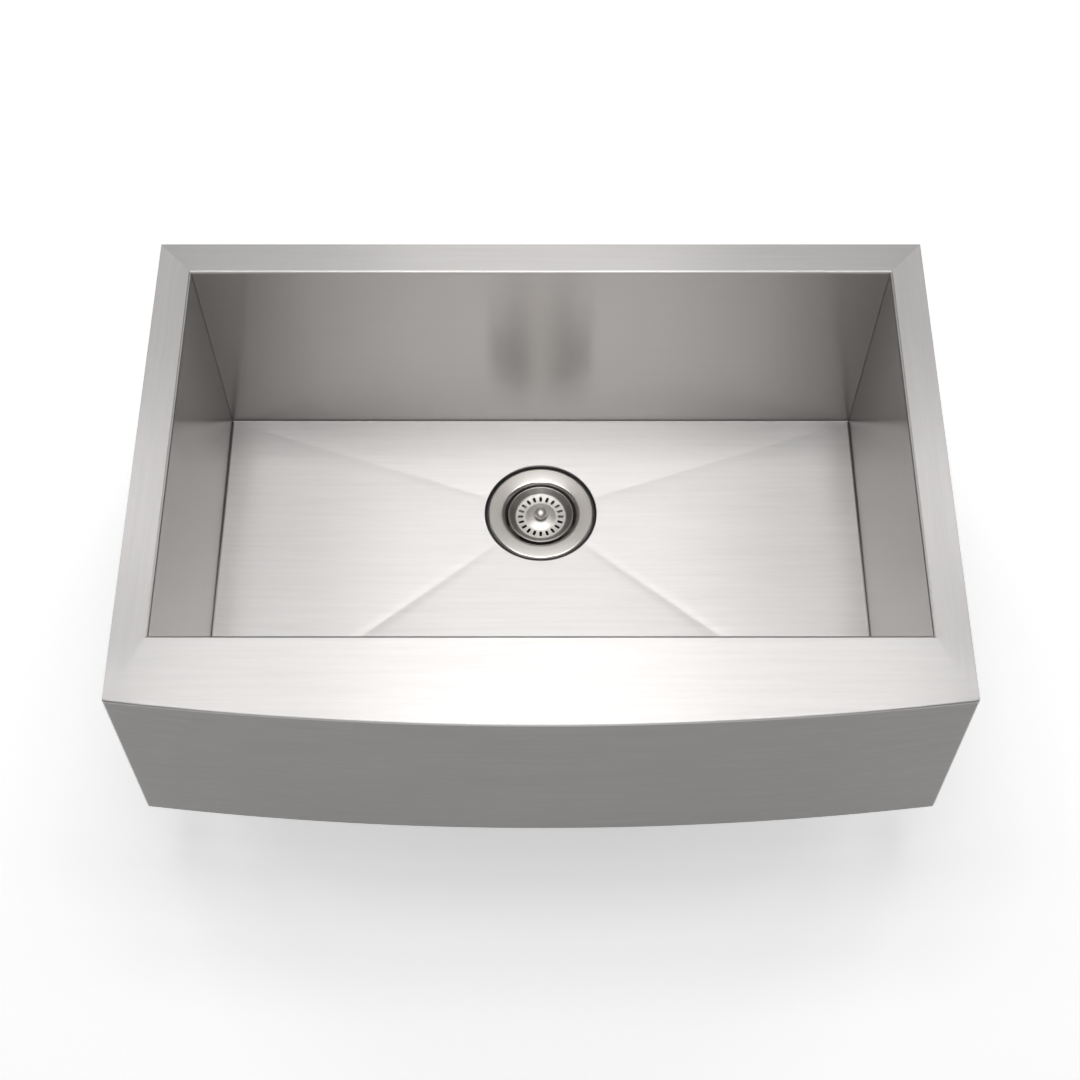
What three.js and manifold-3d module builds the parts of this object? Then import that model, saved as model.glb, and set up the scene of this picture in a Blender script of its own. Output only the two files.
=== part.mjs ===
// A 30 in single-bowl kitchen sink in 16 gauge stainless steel, with a bowed apron front, square
// welded corners and a creased floor that falls to a 3 1/2 in drain with a lift-out basket strainer.
//
// Millimetres. X runs to the right, Y to the back, Z up. The origin is the centre of the bowl's
// opening on the rim's top face. The bowl is folded from one blank with its side and back rims, the
// front deck and the bowed apron are a second folded sheet, and the two meet in ground-flush mitres.

import * as THREE from "three";
import { mergeVertices } from "three/addons/utils/BufferGeometryUtils.js";
import Module from "manifold-3d";

const wasm = await Module();
wasm.setup();

// ---------------------------------------------------------------- sizes of the sheet metal

const SHEET = 1.5; // 16 gauge
const BEND_RADIUS = 2.5; // outside radius of every fold at the rim and on the apron
const FLOOR_RADIUS = 2; // inside radius of the fold between a wall and the floor

const OPENING_WIDTH = 695; // between the side walls, at the rim
const OPENING_LENGTH = 409; // between the front and back walls, at the rim
const SIDE_RIM = 33.5;
const BACK_RIM = 36;
const FRONT_DECK = 65.5; // from the opening to the apron's corners
const BOWL_DEPTH = 248; // rim to the floor's outer edge
const FLOOR_FALL = 6; // from the floor's outer edge down to the drain
const SIDE_DRAFT = 8; // how far each wall leans in between the rim and the floor
const FRONT_DRAFT = 6.5;
const BACK_DRAFT = 7.5;

const DRAIN_TO_BACK = 116.5; // drain centre to the foot of the back wall
const DRAIN_HOLE_RADIUS = 44.5;
const RECESS_RADIUS = 59.5; // pressed seat that lets the strainer's flange lie flush
const RECESS_TAPER = 1;
const RECESS_DEPTH = 2.6;

const APRON_HEIGHT = 228.6;
const APRON_BOW = 23; // how far the middle stands in front of the corners
const APRON_CORNER = 3; // outside radius of the upright folds
const HEM_WIDTH = 28; // return along the apron's lower edge

const BRACKET_SPREAD = 420; // between the two brackets' centres
const BRACKET_WIDTH = 40;
const BRACKET_SHEET = 2;
const BRACKET_UPRIGHT = 38;
const BRACKET_HEM_LAP = 18; // how far a bracket reaches over the hem
const BRACKET_RADIUS = 4;

// ---------------------------------------------------------------- sizes of the sound pads

const PAD_THICKNESS = 3;
const PAD_EDGE = 22; // floor pads stop this far short of the walls
const PAD_CREASE_SHARE = 0.12; // share of a facet's width left bare along each crease
const PAD_DRAIN_CLEARANCE = 74;
const WALL_PAD_TOP = 55; // below the rim
const WALL_PAD_HEIGHT = 130;
const WALL_PAD_MARGIN = 70; // bare wall at each end of a wall pad
const PAD_ABOVE_BRACKET = 3.8; // front wall pad above the brackets' upper ends
const APRON_PAD_WIDTH = 520;
const APRON_PAD_HEIGHT = 130;

// ---------------------------------------------------------------- sizes of the strainer

const GAP = 0.3; // left between faces that touch or are pressed together
const FLANGE_RADIUS = 57.15; // 4 1/2 in across
const FLANGE_ROLL = 2.4; // radius of the rolled outer edge
const FLANGE_DISH = 1.1; // fall of the flange's face towards the throat
const FLANGE_SEAL = 0.8;
const FLANGE_SEAL_SHOWS = 1.1; // how far the seal is pressed out round the flange
const THROAT_RADIUS = 37.5;
const SHOULDER_RADIUS = 5;
const CUP_WALL = 1.5;
const CUP_DEPTH = 35; // flange to the cup's floor
const CUP_CORNER = 5;
const CUP_FLOOR_FALL = 1.5;
const OUTLET_RADIUS = 19.5;

const GASKET_RADIUS = 52;
const GASKET_THICKNESS = 3.2;
const FRICTION_RING_THICKNESS = 1.5;
const LOCKNUT_HEIGHT = 12;
const LOCKNUT_RADIUS = 48;
const LOCKNUT_LUGS = 8;
const LOCKNUT_LUG_REACH = 6;
const LOCKNUT_LUG_WIDTH = 14;

const SPIGOT_WALL = 3.5;
const SPIGOT_LENGTH = 34; // from the cup's underside to the open end
const SPIGOT_COLLAR_RADIUS = 30;
const SPIGOT_COLLAR = 2.4;
const SPIDER_ARMS = 4;
const SPIDER_DEPTH = 4;
const SPIDER_DROP = 7; // from the cup's underside to the top of the arms
const SPIDER_ARM_WIDTH = 3;
const SPIDER_HUB_RADIUS = 8;
const SPIDER_HOLE_RADIUS = 4.6;

const COUPLING_HEIGHT = 20;
const COUPLING_WALL = 4.5;
const COUPLING_RIBS = 12;
const COUPLING_RIB_RADIUS = 2.2;
const COUPLING_LIP = 3;
const COUPLING_OVERHANG = 6.9; // how far the nut hangs below the spigot's end
const WASHER_THICKNESS = 3;

// ---------------------------------------------------------------- sizes of the basket

const BASKET_SHEET = 0.8;
const BASKET_RADIUS = 35;
const BASKET_RIM_ROLL = 1; // radius of the curled rim
const BASKET_TOP = 2.4; // rim below the flange's face
const BASKET_DEPTH = 5.4; // rim to the perforated floor
const BASKET_FLOOR_RADIUS = 28;
const BASKET_DOME_RADIUS = 16.5;
const BASKET_DOME_RISE = 1.8;
const SLOT_COUNT = 20;
const SLOT_LENGTH = 6.2;
const SLOT_WIDTH = 2.7;
const SLOT_RING_RADIUS = 21.8;
const KNOB_RADIUS = 7.5;
const KNOB_HEIGHT = 10;
const KNOB_NECK_RADIUS = 4.6;
const STEM_RADIUS = 3;
const STEM_IN_KNOB = 5; // length of stem that screws into the knob
const STEM_SHOULDER_RADIUS = 5.5;
const STOPPER_RADIUS = 25;
const STOPPER_LIP = 3;
const STOPPER_HUB_RADIUS = 11;
const STOPPER_HEIGHT = 15;
const STEM_NUT_RADIUS = 5.8;
const STEM_NUT_HEIGHT = 3.2;
const CLIP_WIDTH = 4;
const CLIP_STRIP = 0.8;
const CLIP_LENGTH = 14;
const CLIP_BULGE = 3.6;

const ROUND = 56; // facets round a large turned part
const SMALL_ROUND = 36;
const BEND_STEPS = 4; // facets round a folded edge
const BOW_STEPS = 28;
const OVERCUT = 5; // how far a cutting solid runs past what it cuts

// ---------------------------------------------------------------- places that follow from the sizes

const OVERALL_WIDTH = OPENING_WIDTH + 2 * SIDE_RIM;
const RIM_BACK_Y = OPENING_LENGTH / 2 + BACK_RIM;
const CORNER_Y = -OPENING_LENGTH / 2 - FRONT_DECK;
const BOW_RADIUS = ((OVERALL_WIDTH / 2) ** 2 + APRON_BOW ** 2) / (2 * APRON_BOW);
const BOW_CENTRE_Y = CORNER_Y - APRON_BOW + BOW_RADIUS;
const FOLD_X = OVERALL_WIDTH / 2 - APRON_CORNER; // centres of the apron's upright folds
const FOLD_Y = BOW_CENTRE_Y - Math.sqrt((BOW_RADIUS - APRON_CORNER) ** 2 - FOLD_X ** 2);
const MITRE_Y = FOLD_Y + BEND_RADIUS; // where the side rims end, at the deck's front fold
const SEAM_Y = -OPENING_LENGTH / 2 - BEND_RADIUS; // where the front deck meets the bowl's folded lip
const DRAIN_Y = OPENING_LENGTH / 2 - BACK_DRAFT - DRAIN_TO_BACK;
const FLOOR_LOW_Z = -BOWL_DEPTH - FLOOR_FALL;
const SEAT_Z = FLOOR_LOW_Z - RECESS_DEPTH;
const SEAT_UNDERSIDE_Z = SEAT_Z - SHEET;

const FLANGE_FOOT_Z = SEAT_Z + FLANGE_SEAL + 2 * GAP;
const FLANGE_TOP_Z = FLANGE_FOOT_Z + FLANGE_ROLL;
const CUP_RADIUS = THROAT_RADIUS + CUP_WALL; // outside, where the locknut's thread runs
const CUP_FLOOR_Z = FLANGE_TOP_Z - CUP_DEPTH;
const CUP_UNDERSIDE_Z = CUP_FLOOR_Z - CUP_FLOOR_FALL - CUP_WALL;
const GASKET_TOP_Z = SEAT_UNDERSIDE_Z - GAP;
const FRICTION_TOP_Z = GASKET_TOP_Z - GASKET_THICKNESS - GAP;
const LOCKNUT_TOP_Z = FRICTION_TOP_Z - FRICTION_RING_THICKNESS - GAP;
const SPIGOT_TOP_Z = CUP_UNDERSIDE_Z - GAP;
const SPIGOT_RADIUS = OUTLET_RADIUS + SPIGOT_WALL;
const SPIGOT_END_Z = SPIGOT_TOP_Z - SPIGOT_LENGTH;
const WASHER_TOP_Z = SPIGOT_END_Z - GAP;
const COUPLING_END_Z = SPIGOT_END_Z - COUPLING_OVERHANG;
const SPIDER_TOP_Z = SPIGOT_TOP_Z - SPIDER_DROP;
const BRACKET_FOOT_Z = -APRON_HEIGHT + SHEET + GAP;
const BRACKET_TIP_Z = BRACKET_FOOT_Z + BRACKET_UPRIGHT;

const BASKET_RIM_Z = FLANGE_TOP_Z - BASKET_TOP;
const BASKET_FLOOR_Z = BASKET_RIM_Z - BASKET_DEPTH;
const STEM_BORE = STEM_RADIUS + GAP; // hole for the stem in the dish, the stopper and the nut
const KNOB_FOOT_Z = BASKET_FLOOR_Z + BASKET_DOME_RISE + GAP;
const STOPPER_FOOT_Z = CUP_FLOOR_Z + GAP;
const STOPPER_TOP_Z = STOPPER_FOOT_Z + STOPPER_HEIGHT;
const STEM_NUT_TOP_Z = STOPPER_FOOT_Z - GAP;
const STEM_END_Z = STEM_NUT_TOP_Z - STEM_NUT_HEIGHT - 2;

// ---------------------------------------------------------------- materials

const brushedSteel = new THREE.MeshStandardMaterial({ color: 0xb4b2b0, metalness: 0.9, roughness: 0.36 });
const satinSteel = new THREE.MeshStandardMaterial({ color: 0xc2beb6, metalness: 0.95, roughness: 0.22 });
const castZinc = new THREE.MeshStandardMaterial({ color: 0x94979a, metalness: 0.85, roughness: 0.45 });
const padRubber = new THREE.MeshStandardMaterial({ color: 0x2a2b2d, metalness: 0, roughness: 0.9 });
const sealRubber = new THREE.MeshStandardMaterial({ color: 0x17181a, metalness: 0, roughness: 0.7 });
const fibre = new THREE.MeshStandardMaterial({ color: 0x9a7b52, metalness: 0, roughness: 0.95 });
const whitePlastic = new THREE.MeshStandardMaterial({ color: 0xe6e4dc, metalness: 0, roughness: 0.45 });

// ---------------------------------------------------------------- helpers

const point = (x, y, z) => new THREE.Vector3(x, y, z);

function signedVolume(position, index) {
  const corner = (i) => new THREE.Vector3().fromBufferAttribute(position, index[i]);
  let total = 0;
  for (let i = 0; i < index.length; i += 3) {
    total += corner(i).dot(corner(i + 1).cross(corner(i + 2))) / 6;
  }
  return total;
}

// A closed three.js surface as a solid that can be joined and cut. A surface that faces inwards is
// turned round, and triangles that have shrunk to a line are left out.
function toSolid(geometry) {
  const bare = new THREE.BufferGeometry();
  bare.setAttribute("position", geometry.getAttribute("position").clone());
  if (geometry.index) bare.setIndex(geometry.index.clone());
  const merged = mergeVertices(bare, 1e-4);
  const all = merged.index.array;
  const kept = [];
  for (let i = 0; i < all.length; i += 3) {
    const [a, b, c] = [all[i], all[i + 1], all[i + 2]];
    if (a !== b && b !== c && c !== a) kept.push(a, b, c);
  }
  if (signedVolume(merged.attributes.position, kept) < 0) kept.reverse();
  return new wasm.Manifold(
    new wasm.Mesh({
      numProp: 3,
      vertProperties: new Float32Array(merged.attributes.position.array),
      triVerts: new Uint32Array(kept),
    }),
  );
}

function toMesh(name, solid, material) {
  const made = solid.getMesh();
  const indexed = new THREE.BufferGeometry();
  indexed.setAttribute("position", new THREE.BufferAttribute(made.vertProperties, made.numProp));
  indexed.setIndex(new THREE.BufferAttribute(made.triVerts, 1));
  const geometry = indexed.toNonIndexed(); // each facet keeps its own normal
  geometry.computeVertexNormals();
  const mesh = new THREE.Mesh(geometry, material);
  mesh.name = name;
  return mesh;
}

// Rings of equally many points, from the lowest to the highest, skinned and closed at both ends.
// The facets on the left of a ring mirror those on its right.
function loft(rings) {
  const size = rings[0].length;
  const positions = rings.flat().flatMap((p) => [p.x, p.y, p.z]);
  const index = [];
  for (let r = 0; r + 1 < rings.length; r++) {
    for (let i = 0; i < size; i++) {
      const j = (i + 1) % size;
      const [a, b] = [r * size + i, r * size + j];
      const onLeft = rings[r][i].x + rings[r][j].x < 0;
      index.push(...(onLeft ? [a, b, a + size, b, b + size, a + size] : [a, b, b + size, a, b + size, a + size]));
    }
  }
  const cap = (ring, first, upwards) => {
    const faces = THREE.ShapeUtils.triangulateShape(ring.map((p) => new THREE.Vector2(p.x, p.y)), []);
    for (const [a, b, c] of faces) index.push(...(upwards ? [a, b, c] : [c, b, a]).map((i) => i + first));
  };
  const isPoint = (ring) => ring.every((p) => p.distanceTo(ring[0]) < 1e-6);
  if (!isPoint(rings[0])) cap(rings[0], 0, false);
  if (!isPoint(rings.at(-1))) cap(rings.at(-1), (rings.length - 1) * size, true);
  const geometry = new THREE.BufferGeometry();
  geometry.setAttribute("position", new THREE.Float32BufferAttribute(positions, 3));
  geometry.setIndex(index);
  return toSolid(geometry);
}

// A [radius, height] outline revolved about Z. One that stays clear of the axis closes on itself.
function turned(outline, facets = ROUND) {
  const profile = outline.map(([radius, height]) => new THREE.Vector2(radius, height));
  const onAxis = outline[0][0] === 0 && outline.at(-1)[0] === 0;
  if (!onAxis) profile.push(profile[0].clone());
  return toSolid(new THREE.LatheGeometry(profile, facets).rotateX(Math.PI / 2));
}

const disc = (radius, low, high, facets = ROUND) =>
  turned([[0, low], [radius, low], [radius, high], [0, high]], facets);

const ringOf = (inner, outer, low, high, facets = ROUND) =>
  turned([[inner, low], [outer, low], [outer, high], [inner, high]], facets);

// A plan outline pulled up from one height to another.
function prism(outline, low, high) {
  const shape = new THREE.Shape(outline.map(([x, y]) => new THREE.Vector2(x, y)));
  const geometry = new THREE.ExtrudeGeometry(shape, { depth: high - low, bevelEnabled: false });
  return toSolid(geometry.translate(0, 0, low));
}

// An outline in the YZ plane, pulled along X and centred on x.
function sideProfile(outline, width, x) {
  const shape = new THREE.Shape(outline.map(([y, z]) => new THREE.Vector2(y, z)));
  const geometry = new THREE.ExtrudeGeometry(shape, { depth: width, bevelEnabled: false });
  const turn = new THREE.Matrix4().makeBasis(point(0, 1, 0), point(0, 0, 1), point(1, 0, 0));
  return toSolid(geometry.applyMatrix4(turn).translate(x - width / 2, 0, 0));
}

// Points of an arc in a plane, from one angle to another in degrees, both ends included.
function arc(centreA, centreB, radius, from, to, steps = BEND_STEPS) {
  return Array.from({ length: steps + 1 }, (_, i) => {
    const angle = THREE.MathUtils.degToRad(from + ((to - from) * i) / steps);
    return [centreA + radius * Math.cos(angle), centreB + radius * Math.sin(angle)];
  });
}

const bendAngles = Array.from({ length: BEND_STEPS + 1 }, (_, i) => ((Math.PI / 2) * i) / BEND_STEPS);
const union = (solids) => solids.reduce((sum, next) => sum.add(next));
const atDrain = (solid) => solid.translate([0, DRAIN_Y, 0]);

// ---------------------------------------------------------------- bowl

// The inside faces of the four walls at a height, moved outwards by a distance.
function wallsAt(z, outwards = 0) {
  const share = -z / BOWL_DEPTH;
  return {
    side: OPENING_WIDTH / 2 - SIDE_DRAFT * share + outwards,
    front: -OPENING_LENGTH / 2 + FRONT_DRAFT * share - outwards,
    back: OPENING_LENGTH / 2 - BACK_DRAFT * share + outwards,
  };
}

const rectangle = ({ side, front, back }, z) => [
  point(-side, front, z),
  point(side, front, z),
  point(side, back, z),
  point(-side, back, z),
];

const drainPoint = (z) => Array(4).fill(point(0, DRAIN_Y, z));

// The space inside the bowl, from the drain point up through the rounded lip.
function bowlInside() {
  const rings = [drainPoint(FLOOR_LOW_Z)];
  for (const a of bendAngles) {
    const z = -BOWL_DEPTH + FLOOR_RADIUS * (1 - Math.cos(a));
    rings.push(rectangle(wallsAt(z, -FLOOR_RADIUS * (1 - Math.sin(a))), z));
  }
  for (const a of bendAngles) {
    const z = -BEND_RADIUS * (1 - Math.sin(a));
    rings.push(rectangle(wallsAt(z, BEND_RADIUS * (1 - Math.cos(a))), z));
  }
  rings.push(rectangle(wallsAt(0, BEND_RADIUS), OVERCUT));
  return loft(rings);
}

// The same bowl one sheet thickness larger, with the rim's plate round its top.
function bowlOutside() {
  const outerRadius = FLOOR_RADIUS + SHEET;
  const lipRadius = BEND_RADIUS - SHEET;
  const rim = { side: OVERALL_WIDTH / 2, front: MITRE_Y, back: RIM_BACK_Y };
  const rings = [drainPoint(FLOOR_LOW_Z - SHEET)];
  for (const a of bendAngles) {
    const z = -BOWL_DEPTH + FLOOR_RADIUS - outerRadius * Math.cos(a);
    rings.push(rectangle(wallsAt(z, outerRadius * Math.sin(a) - FLOOR_RADIUS), z));
  }
  for (const a of bendAngles) {
    const z = -BEND_RADIUS + lipRadius * Math.sin(a);
    rings.push(rectangle(wallsAt(z, BEND_RADIUS - lipRadius * Math.cos(a)), z));
  }
  rings.push(rectangle(rim, -SHEET), rectangle(rim, 0));
  return loft(rings);
}

// Plan of the front deck. Its mitres run from the lip's corners to the ends of the side rims.
function frontDeckPlan() {
  const lip = OPENING_WIDTH / 2 + BEND_RADIUS;
  const reach = 2; // twice as far as the ends of the side rims
  const endX = lip + reach * (OVERALL_WIDTH / 2 - lip);
  const endY = SEAM_Y + reach * (MITRE_Y - SEAM_Y);
  return [[-lip, SEAM_Y], [-endX, endY], [endX, endY], [lip, SEAM_Y]];
}

function bowlShell() {
  const recessOutside = disc(RECESS_RADIUS + SHEET, SEAT_UNDERSIDE_Z, -BOWL_DEPTH);
  const recessInside = turned([
    [0, SEAT_Z],
    [RECESS_RADIUS - RECESS_TAPER, SEAT_Z],
    [RECESS_RADIUS, FLOOR_LOW_Z],
    [RECESS_RADIUS, -BOWL_DEPTH + OVERCUT],
    [0, -BOWL_DEPTH + OVERCUT],
  ]);
  const hole = disc(DRAIN_HOLE_RADIUS, SEAT_UNDERSIDE_Z - OVERCUT, SEAT_Z + OVERCUT);
  return bowlOutside()
    .add(atDrain(recessOutside))
    .subtract(bowlInside())
    .subtract(atDrain(recessInside.add(hole)))
    .subtract(prism(frontDeckPlan(), -BOWL_DEPTH / 2, OVERCUT));
}

// ---------------------------------------------------------------- apron

const frontAt = (x, inset = 0) => BOW_CENTRE_Y - Math.sqrt((BOW_RADIUS - inset) ** 2 - x * x);

// Plan of the apron box: straight sides, rounded upright folds and the bowed front. inset moves all
// three faces inwards, and setBack moves only the front, for the folds along its long edges.
function apronRing(z, inset, setBack, backY) {
  const lean = THREE.MathUtils.radToDeg(Math.atan2(BOW_CENTRE_Y - FOLD_Y, FOLD_X));
  const corner = (sign, from, to) => arc(sign * FOLD_X, FOLD_Y, APRON_CORNER - inset, from, to);
  const bow = arc(0, BOW_CENTRE_Y, BOW_RADIUS - inset, 180 + lean, 360 - lean, BOW_STEPS).slice(1, -1);
  const face = [...corner(-1, 180, 180 + lean), ...bow, ...corner(1, 360 - lean, 360)];
  const side = OVERALL_WIDTH / 2 - inset;
  return [
    point(-side, backY, z),
    ...face.map(([x, y]) => point(x, y + setBack, z)),
    point(side, backY, z),
  ];
}

function apronBox(inset, radius, backY) {
  const [low, high] = [-APRON_HEIGHT + inset, -inset];
  const lower = bendAngles.map((a) => [low + radius * (1 - Math.cos(a)), radius * (1 - Math.sin(a))]);
  const upper = bendAngles.map((a) => [high - radius * (1 - Math.sin(a)), radius * (1 - Math.cos(a))]);
  return loft([...lower, ...upper].map(([z, setBack]) => apronRing(z, inset, setBack, backY)));
}

function apronPanel() {
  const shell = apronBox(0, BEND_RADIUS, SEAM_Y).subtract(
    apronBox(SHEET, BEND_RADIUS - SHEET, SEAM_Y + OVERCUT),
  );
  const hemSide = OVERALL_WIDTH / 2 - HEM_WIDTH;
  const hemLean = THREE.MathUtils.radToDeg(Math.acos(hemSide / (BOW_RADIUS - HEM_WIDTH)));
  const hemEdge = arc(0, BOW_CENTRE_Y, BOW_RADIUS - HEM_WIDTH, 180 + hemLean, 360 - hemLean, BOW_STEPS);
  const belowHem = prism(
    [[-hemSide, SEAM_Y + OVERCUT], ...hemEdge, [hemSide, SEAM_Y + OVERCUT]],
    -APRON_HEIGHT - OVERCUT,
    -APRON_HEIGHT / 2,
  );
  const far = OVERALL_WIDTH;
  const rimLayer = prism([[-far, -far], [far, -far], [far, far], [-far, far]], -SHEET, OVERCUT);
  const sideRims = rimLayer.subtract(prism(frontDeckPlan(), -2 * SHEET, 2 * OVERCUT));
  return shell.subtract(belowHem).subtract(sideRims);
}

// A folded strip that laps over the hem and stands up against the bowl's front wall.
function apronBracket(x) {
  const bottom = BRACKET_FOOT_Z;
  const top = bottom + BRACKET_SHEET;
  const tip = BRACKET_TIP_Z;
  const wallFace = (z) => wallsAt(z, SHEET + GAP).front;
  const nearFace = (z) => wallFace(z) - BRACKET_SHEET;
  const hemEnd = frontAt(x, HEM_WIDTH) - BRACKET_HEM_LAP;
  const inner = BRACKET_RADIUS - BRACKET_SHEET;
  const outline = [
    [hemEnd, bottom],
    ...arc(wallFace(bottom) - BRACKET_RADIUS, bottom + BRACKET_RADIUS, BRACKET_RADIUS, 270, 360),
    [wallFace(tip), tip],
    [nearFace(tip), tip],
    ...arc(nearFace(top) - inner, top + inner, inner, 360, 270),
    [hemEnd, top],
  ];
  return sideProfile(outline, BRACKET_WIDTH, x);
}

// ---------------------------------------------------------------- sound pads

// One pad under each sloping facet of the floor, clear of the walls, the creases and the drain.
function floorPad(facet) {
  const foot = wallsAt(-BOWL_DEPTH, -FLOOR_RADIUS);
  const ends = {
    left: [[-foot.side, foot.back], [-foot.side, foot.front]],
    front: [[-foot.side, foot.front], [foot.side, foot.front]],
    right: [[foot.side, foot.front], [foot.side, foot.back]],
    back: [[foot.side, foot.back], [-foot.side, foot.back]],
  }[facet];
  const reach = {
    left: foot.side,
    front: DRAIN_Y - foot.front,
    right: foot.side,
    back: foot.back - DRAIN_Y,
  }[facet];
  const onFacet = (along, inward) => {
    const x = THREE.MathUtils.lerp(ends[0][0], ends[1][0], along);
    const y = THREE.MathUtils.lerp(ends[0][1], ends[1][1], along);
    return [
      THREE.MathUtils.lerp(x, 0, inward),
      THREE.MathUtils.lerp(y, DRAIN_Y, inward),
      THREE.MathUtils.lerp(-BOWL_DEPTH, FLOOR_LOW_Z, inward),
    ];
  };
  const [outer, inner] = [PAD_EDGE / reach, 1 - PAD_DRAIN_CLEARANCE / reach];
  const corners = [
    onFacet(PAD_CREASE_SHARE, outer),
    onFacet(1 - PAD_CREASE_SHARE, outer),
    onFacet(1 - PAD_CREASE_SHARE, inner),
    onFacet(PAD_CREASE_SHARE, inner),
  ];
  const ring = (drop) => corners.map(([x, y, z]) => point(x, y, z - drop));
  return loft([ring(SHEET + GAP + PAD_THICKNESS), ring(SHEET + GAP)]);
}

// Pads on the outsides of the walls, leaning with them. The front one ends above the brackets.
function wallPad(wall) {
  const ring = (z) => {
    const near = wallsAt(z, SHEET + GAP);
    const far = wallsAt(z, SHEET + GAP + PAD_THICKNESS);
    const halfWidth = OPENING_WIDTH / 2 - WALL_PAD_MARGIN;
    const halfLength = OPENING_LENGTH / 2 - WALL_PAD_MARGIN;
    const box = (x0, y0, x1, y1) => [point(x0, y0, z), point(x1, y0, z), point(x1, y1, z), point(x0, y1, z)];
    return {
      left: () => box(-far.side, -halfLength, -near.side, halfLength),
      right: () => box(near.side, -halfLength, far.side, halfLength),
      back: () => box(-halfWidth, near.back, halfWidth, far.back),
      front: () => box(-halfWidth, far.front, halfWidth, near.front),
    }[wall]();
  };
  const foot = wall === "front" ? BRACKET_TIP_Z + PAD_ABOVE_BRACKET : -WALL_PAD_TOP - WALL_PAD_HEIGHT;
  return loft([ring(foot), ring(-WALL_PAD_TOP)]);
}

// A pad that follows the inside of the bowed front.
function apronPad() {
  const edge = (inset, reversed) => {
    const half = Math.acos(APRON_PAD_WIDTH / 2 / (BOW_RADIUS - inset));
    const lean = THREE.MathUtils.radToDeg(half);
    const points = arc(0, BOW_CENTRE_Y, BOW_RADIUS - inset, 180 + lean, 360 - lean, BOW_STEPS / 2);
    return reversed ? points.reverse() : points;
  };
  const outline = [...edge(SHEET + GAP, false), ...edge(SHEET + GAP + PAD_THICKNESS, true)];
  const middle = -APRON_HEIGHT / 2;
  return prism(outline, middle - APRON_PAD_HEIGHT / 2, middle + APRON_PAD_HEIGHT / 2);
}

// ---------------------------------------------------------------- strainer

// The drawn cup: rolled flange, dished face, rounded shoulder, straight threaded wall and a floor
// that falls to the outlet.
function strainerCup() {
  const rollX = FLANGE_RADIUS - FLANGE_ROLL;
  const shoulderX = THROAT_RADIUS + SHOULDER_RADIUS;
  const shoulderTop = FLANGE_TOP_Z - FLANGE_DISH;
  const shoulderZ = shoulderTop - SHOULDER_RADIUS;
  const floorX = THROAT_RADIUS - CUP_CORNER;
  const inside = [
    ...arc(rollX, FLANGE_FOOT_Z, FLANGE_ROLL, 0, 90),
    ...arc(shoulderX, shoulderZ, SHOULDER_RADIUS, 90, 180, 5),
    ...arc(floorX, CUP_FLOOR_Z + CUP_CORNER, CUP_CORNER, 0, -90, 3),
    [OUTLET_RADIUS + 1, CUP_FLOOR_Z - CUP_FLOOR_FALL],
  ];
  const outside = [
    [OUTLET_RADIUS + 1, CUP_UNDERSIDE_Z],
    ...arc(floorX, CUP_FLOOR_Z + CUP_CORNER, CUP_CORNER + CUP_WALL, -90, 0, 3),
    ...arc(shoulderX, shoulderZ, SHOULDER_RADIUS - CUP_WALL, 180, 90, 3),
    [rollX, FLANGE_FOOT_Z + FLANGE_ROLL - CUP_WALL],
    [FLANGE_RADIUS - CUP_WALL, FLANGE_FOOT_Z],
  ];
  return atDrain(turned([...inside, ...outside]));
}

function flangeSeal() {
  const low = SEAT_Z + GAP;
  return atDrain(ringOf(DRAIN_HOLE_RADIUS + 1, FLANGE_RADIUS + FLANGE_SEAL_SHOWS, low, low + FLANGE_SEAL));
}

function sinkGasket() {
  const low = GASKET_TOP_Z - GASKET_THICKNESS;
  return atDrain(ringOf(CUP_RADIUS + GAP, GASKET_RADIUS, low, GASKET_TOP_Z));
}

function frictionRing() {
  const low = FRICTION_TOP_Z - FRICTION_RING_THICKNESS;
  return atDrain(ringOf(CUP_RADIUS + GAP, GASKET_RADIUS, low, FRICTION_TOP_Z));
}

// A broad ring with a pressing face on top and lugs that take a spanner.
function locknut() {
  const low = LOCKNUT_TOP_Z - LOCKNUT_HEIGHT;
  const chamfer = 1.2;
  const body = turned([
    [CUP_RADIUS + GAP, low],
    [LOCKNUT_RADIUS - chamfer, low],
    [LOCKNUT_RADIUS, low + chamfer],
    [LOCKNUT_RADIUS, LOCKNUT_TOP_Z - 2 * chamfer],
    [GASKET_RADIUS - chamfer, LOCKNUT_TOP_Z - chamfer],
    [GASKET_RADIUS - chamfer, LOCKNUT_TOP_Z],
    [CUP_RADIUS + GAP, LOCKNUT_TOP_Z],
  ]);
  const root = LOCKNUT_RADIUS - 3;
  const tip = LOCKNUT_RADIUS + LOCKNUT_LUG_REACH;
  const half = LOCKNUT_LUG_WIDTH / 2;
  const plan = [[root, -half], [tip - chamfer, -half * 0.7], [tip, -half * 0.5], [tip, half * 0.5]];
  plan.push([tip - chamfer, half * 0.7], [root, half]);
  const lugs = Array.from({ length: LOCKNUT_LUGS }, (_, i) =>
    prism(plan, low, LOCKNUT_TOP_Z - 3 * chamfer).rotate([0, 0, (360 / LOCKNUT_LUGS) * i]),
  );
  return atDrain(union([body, ...lugs]));
}

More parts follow.
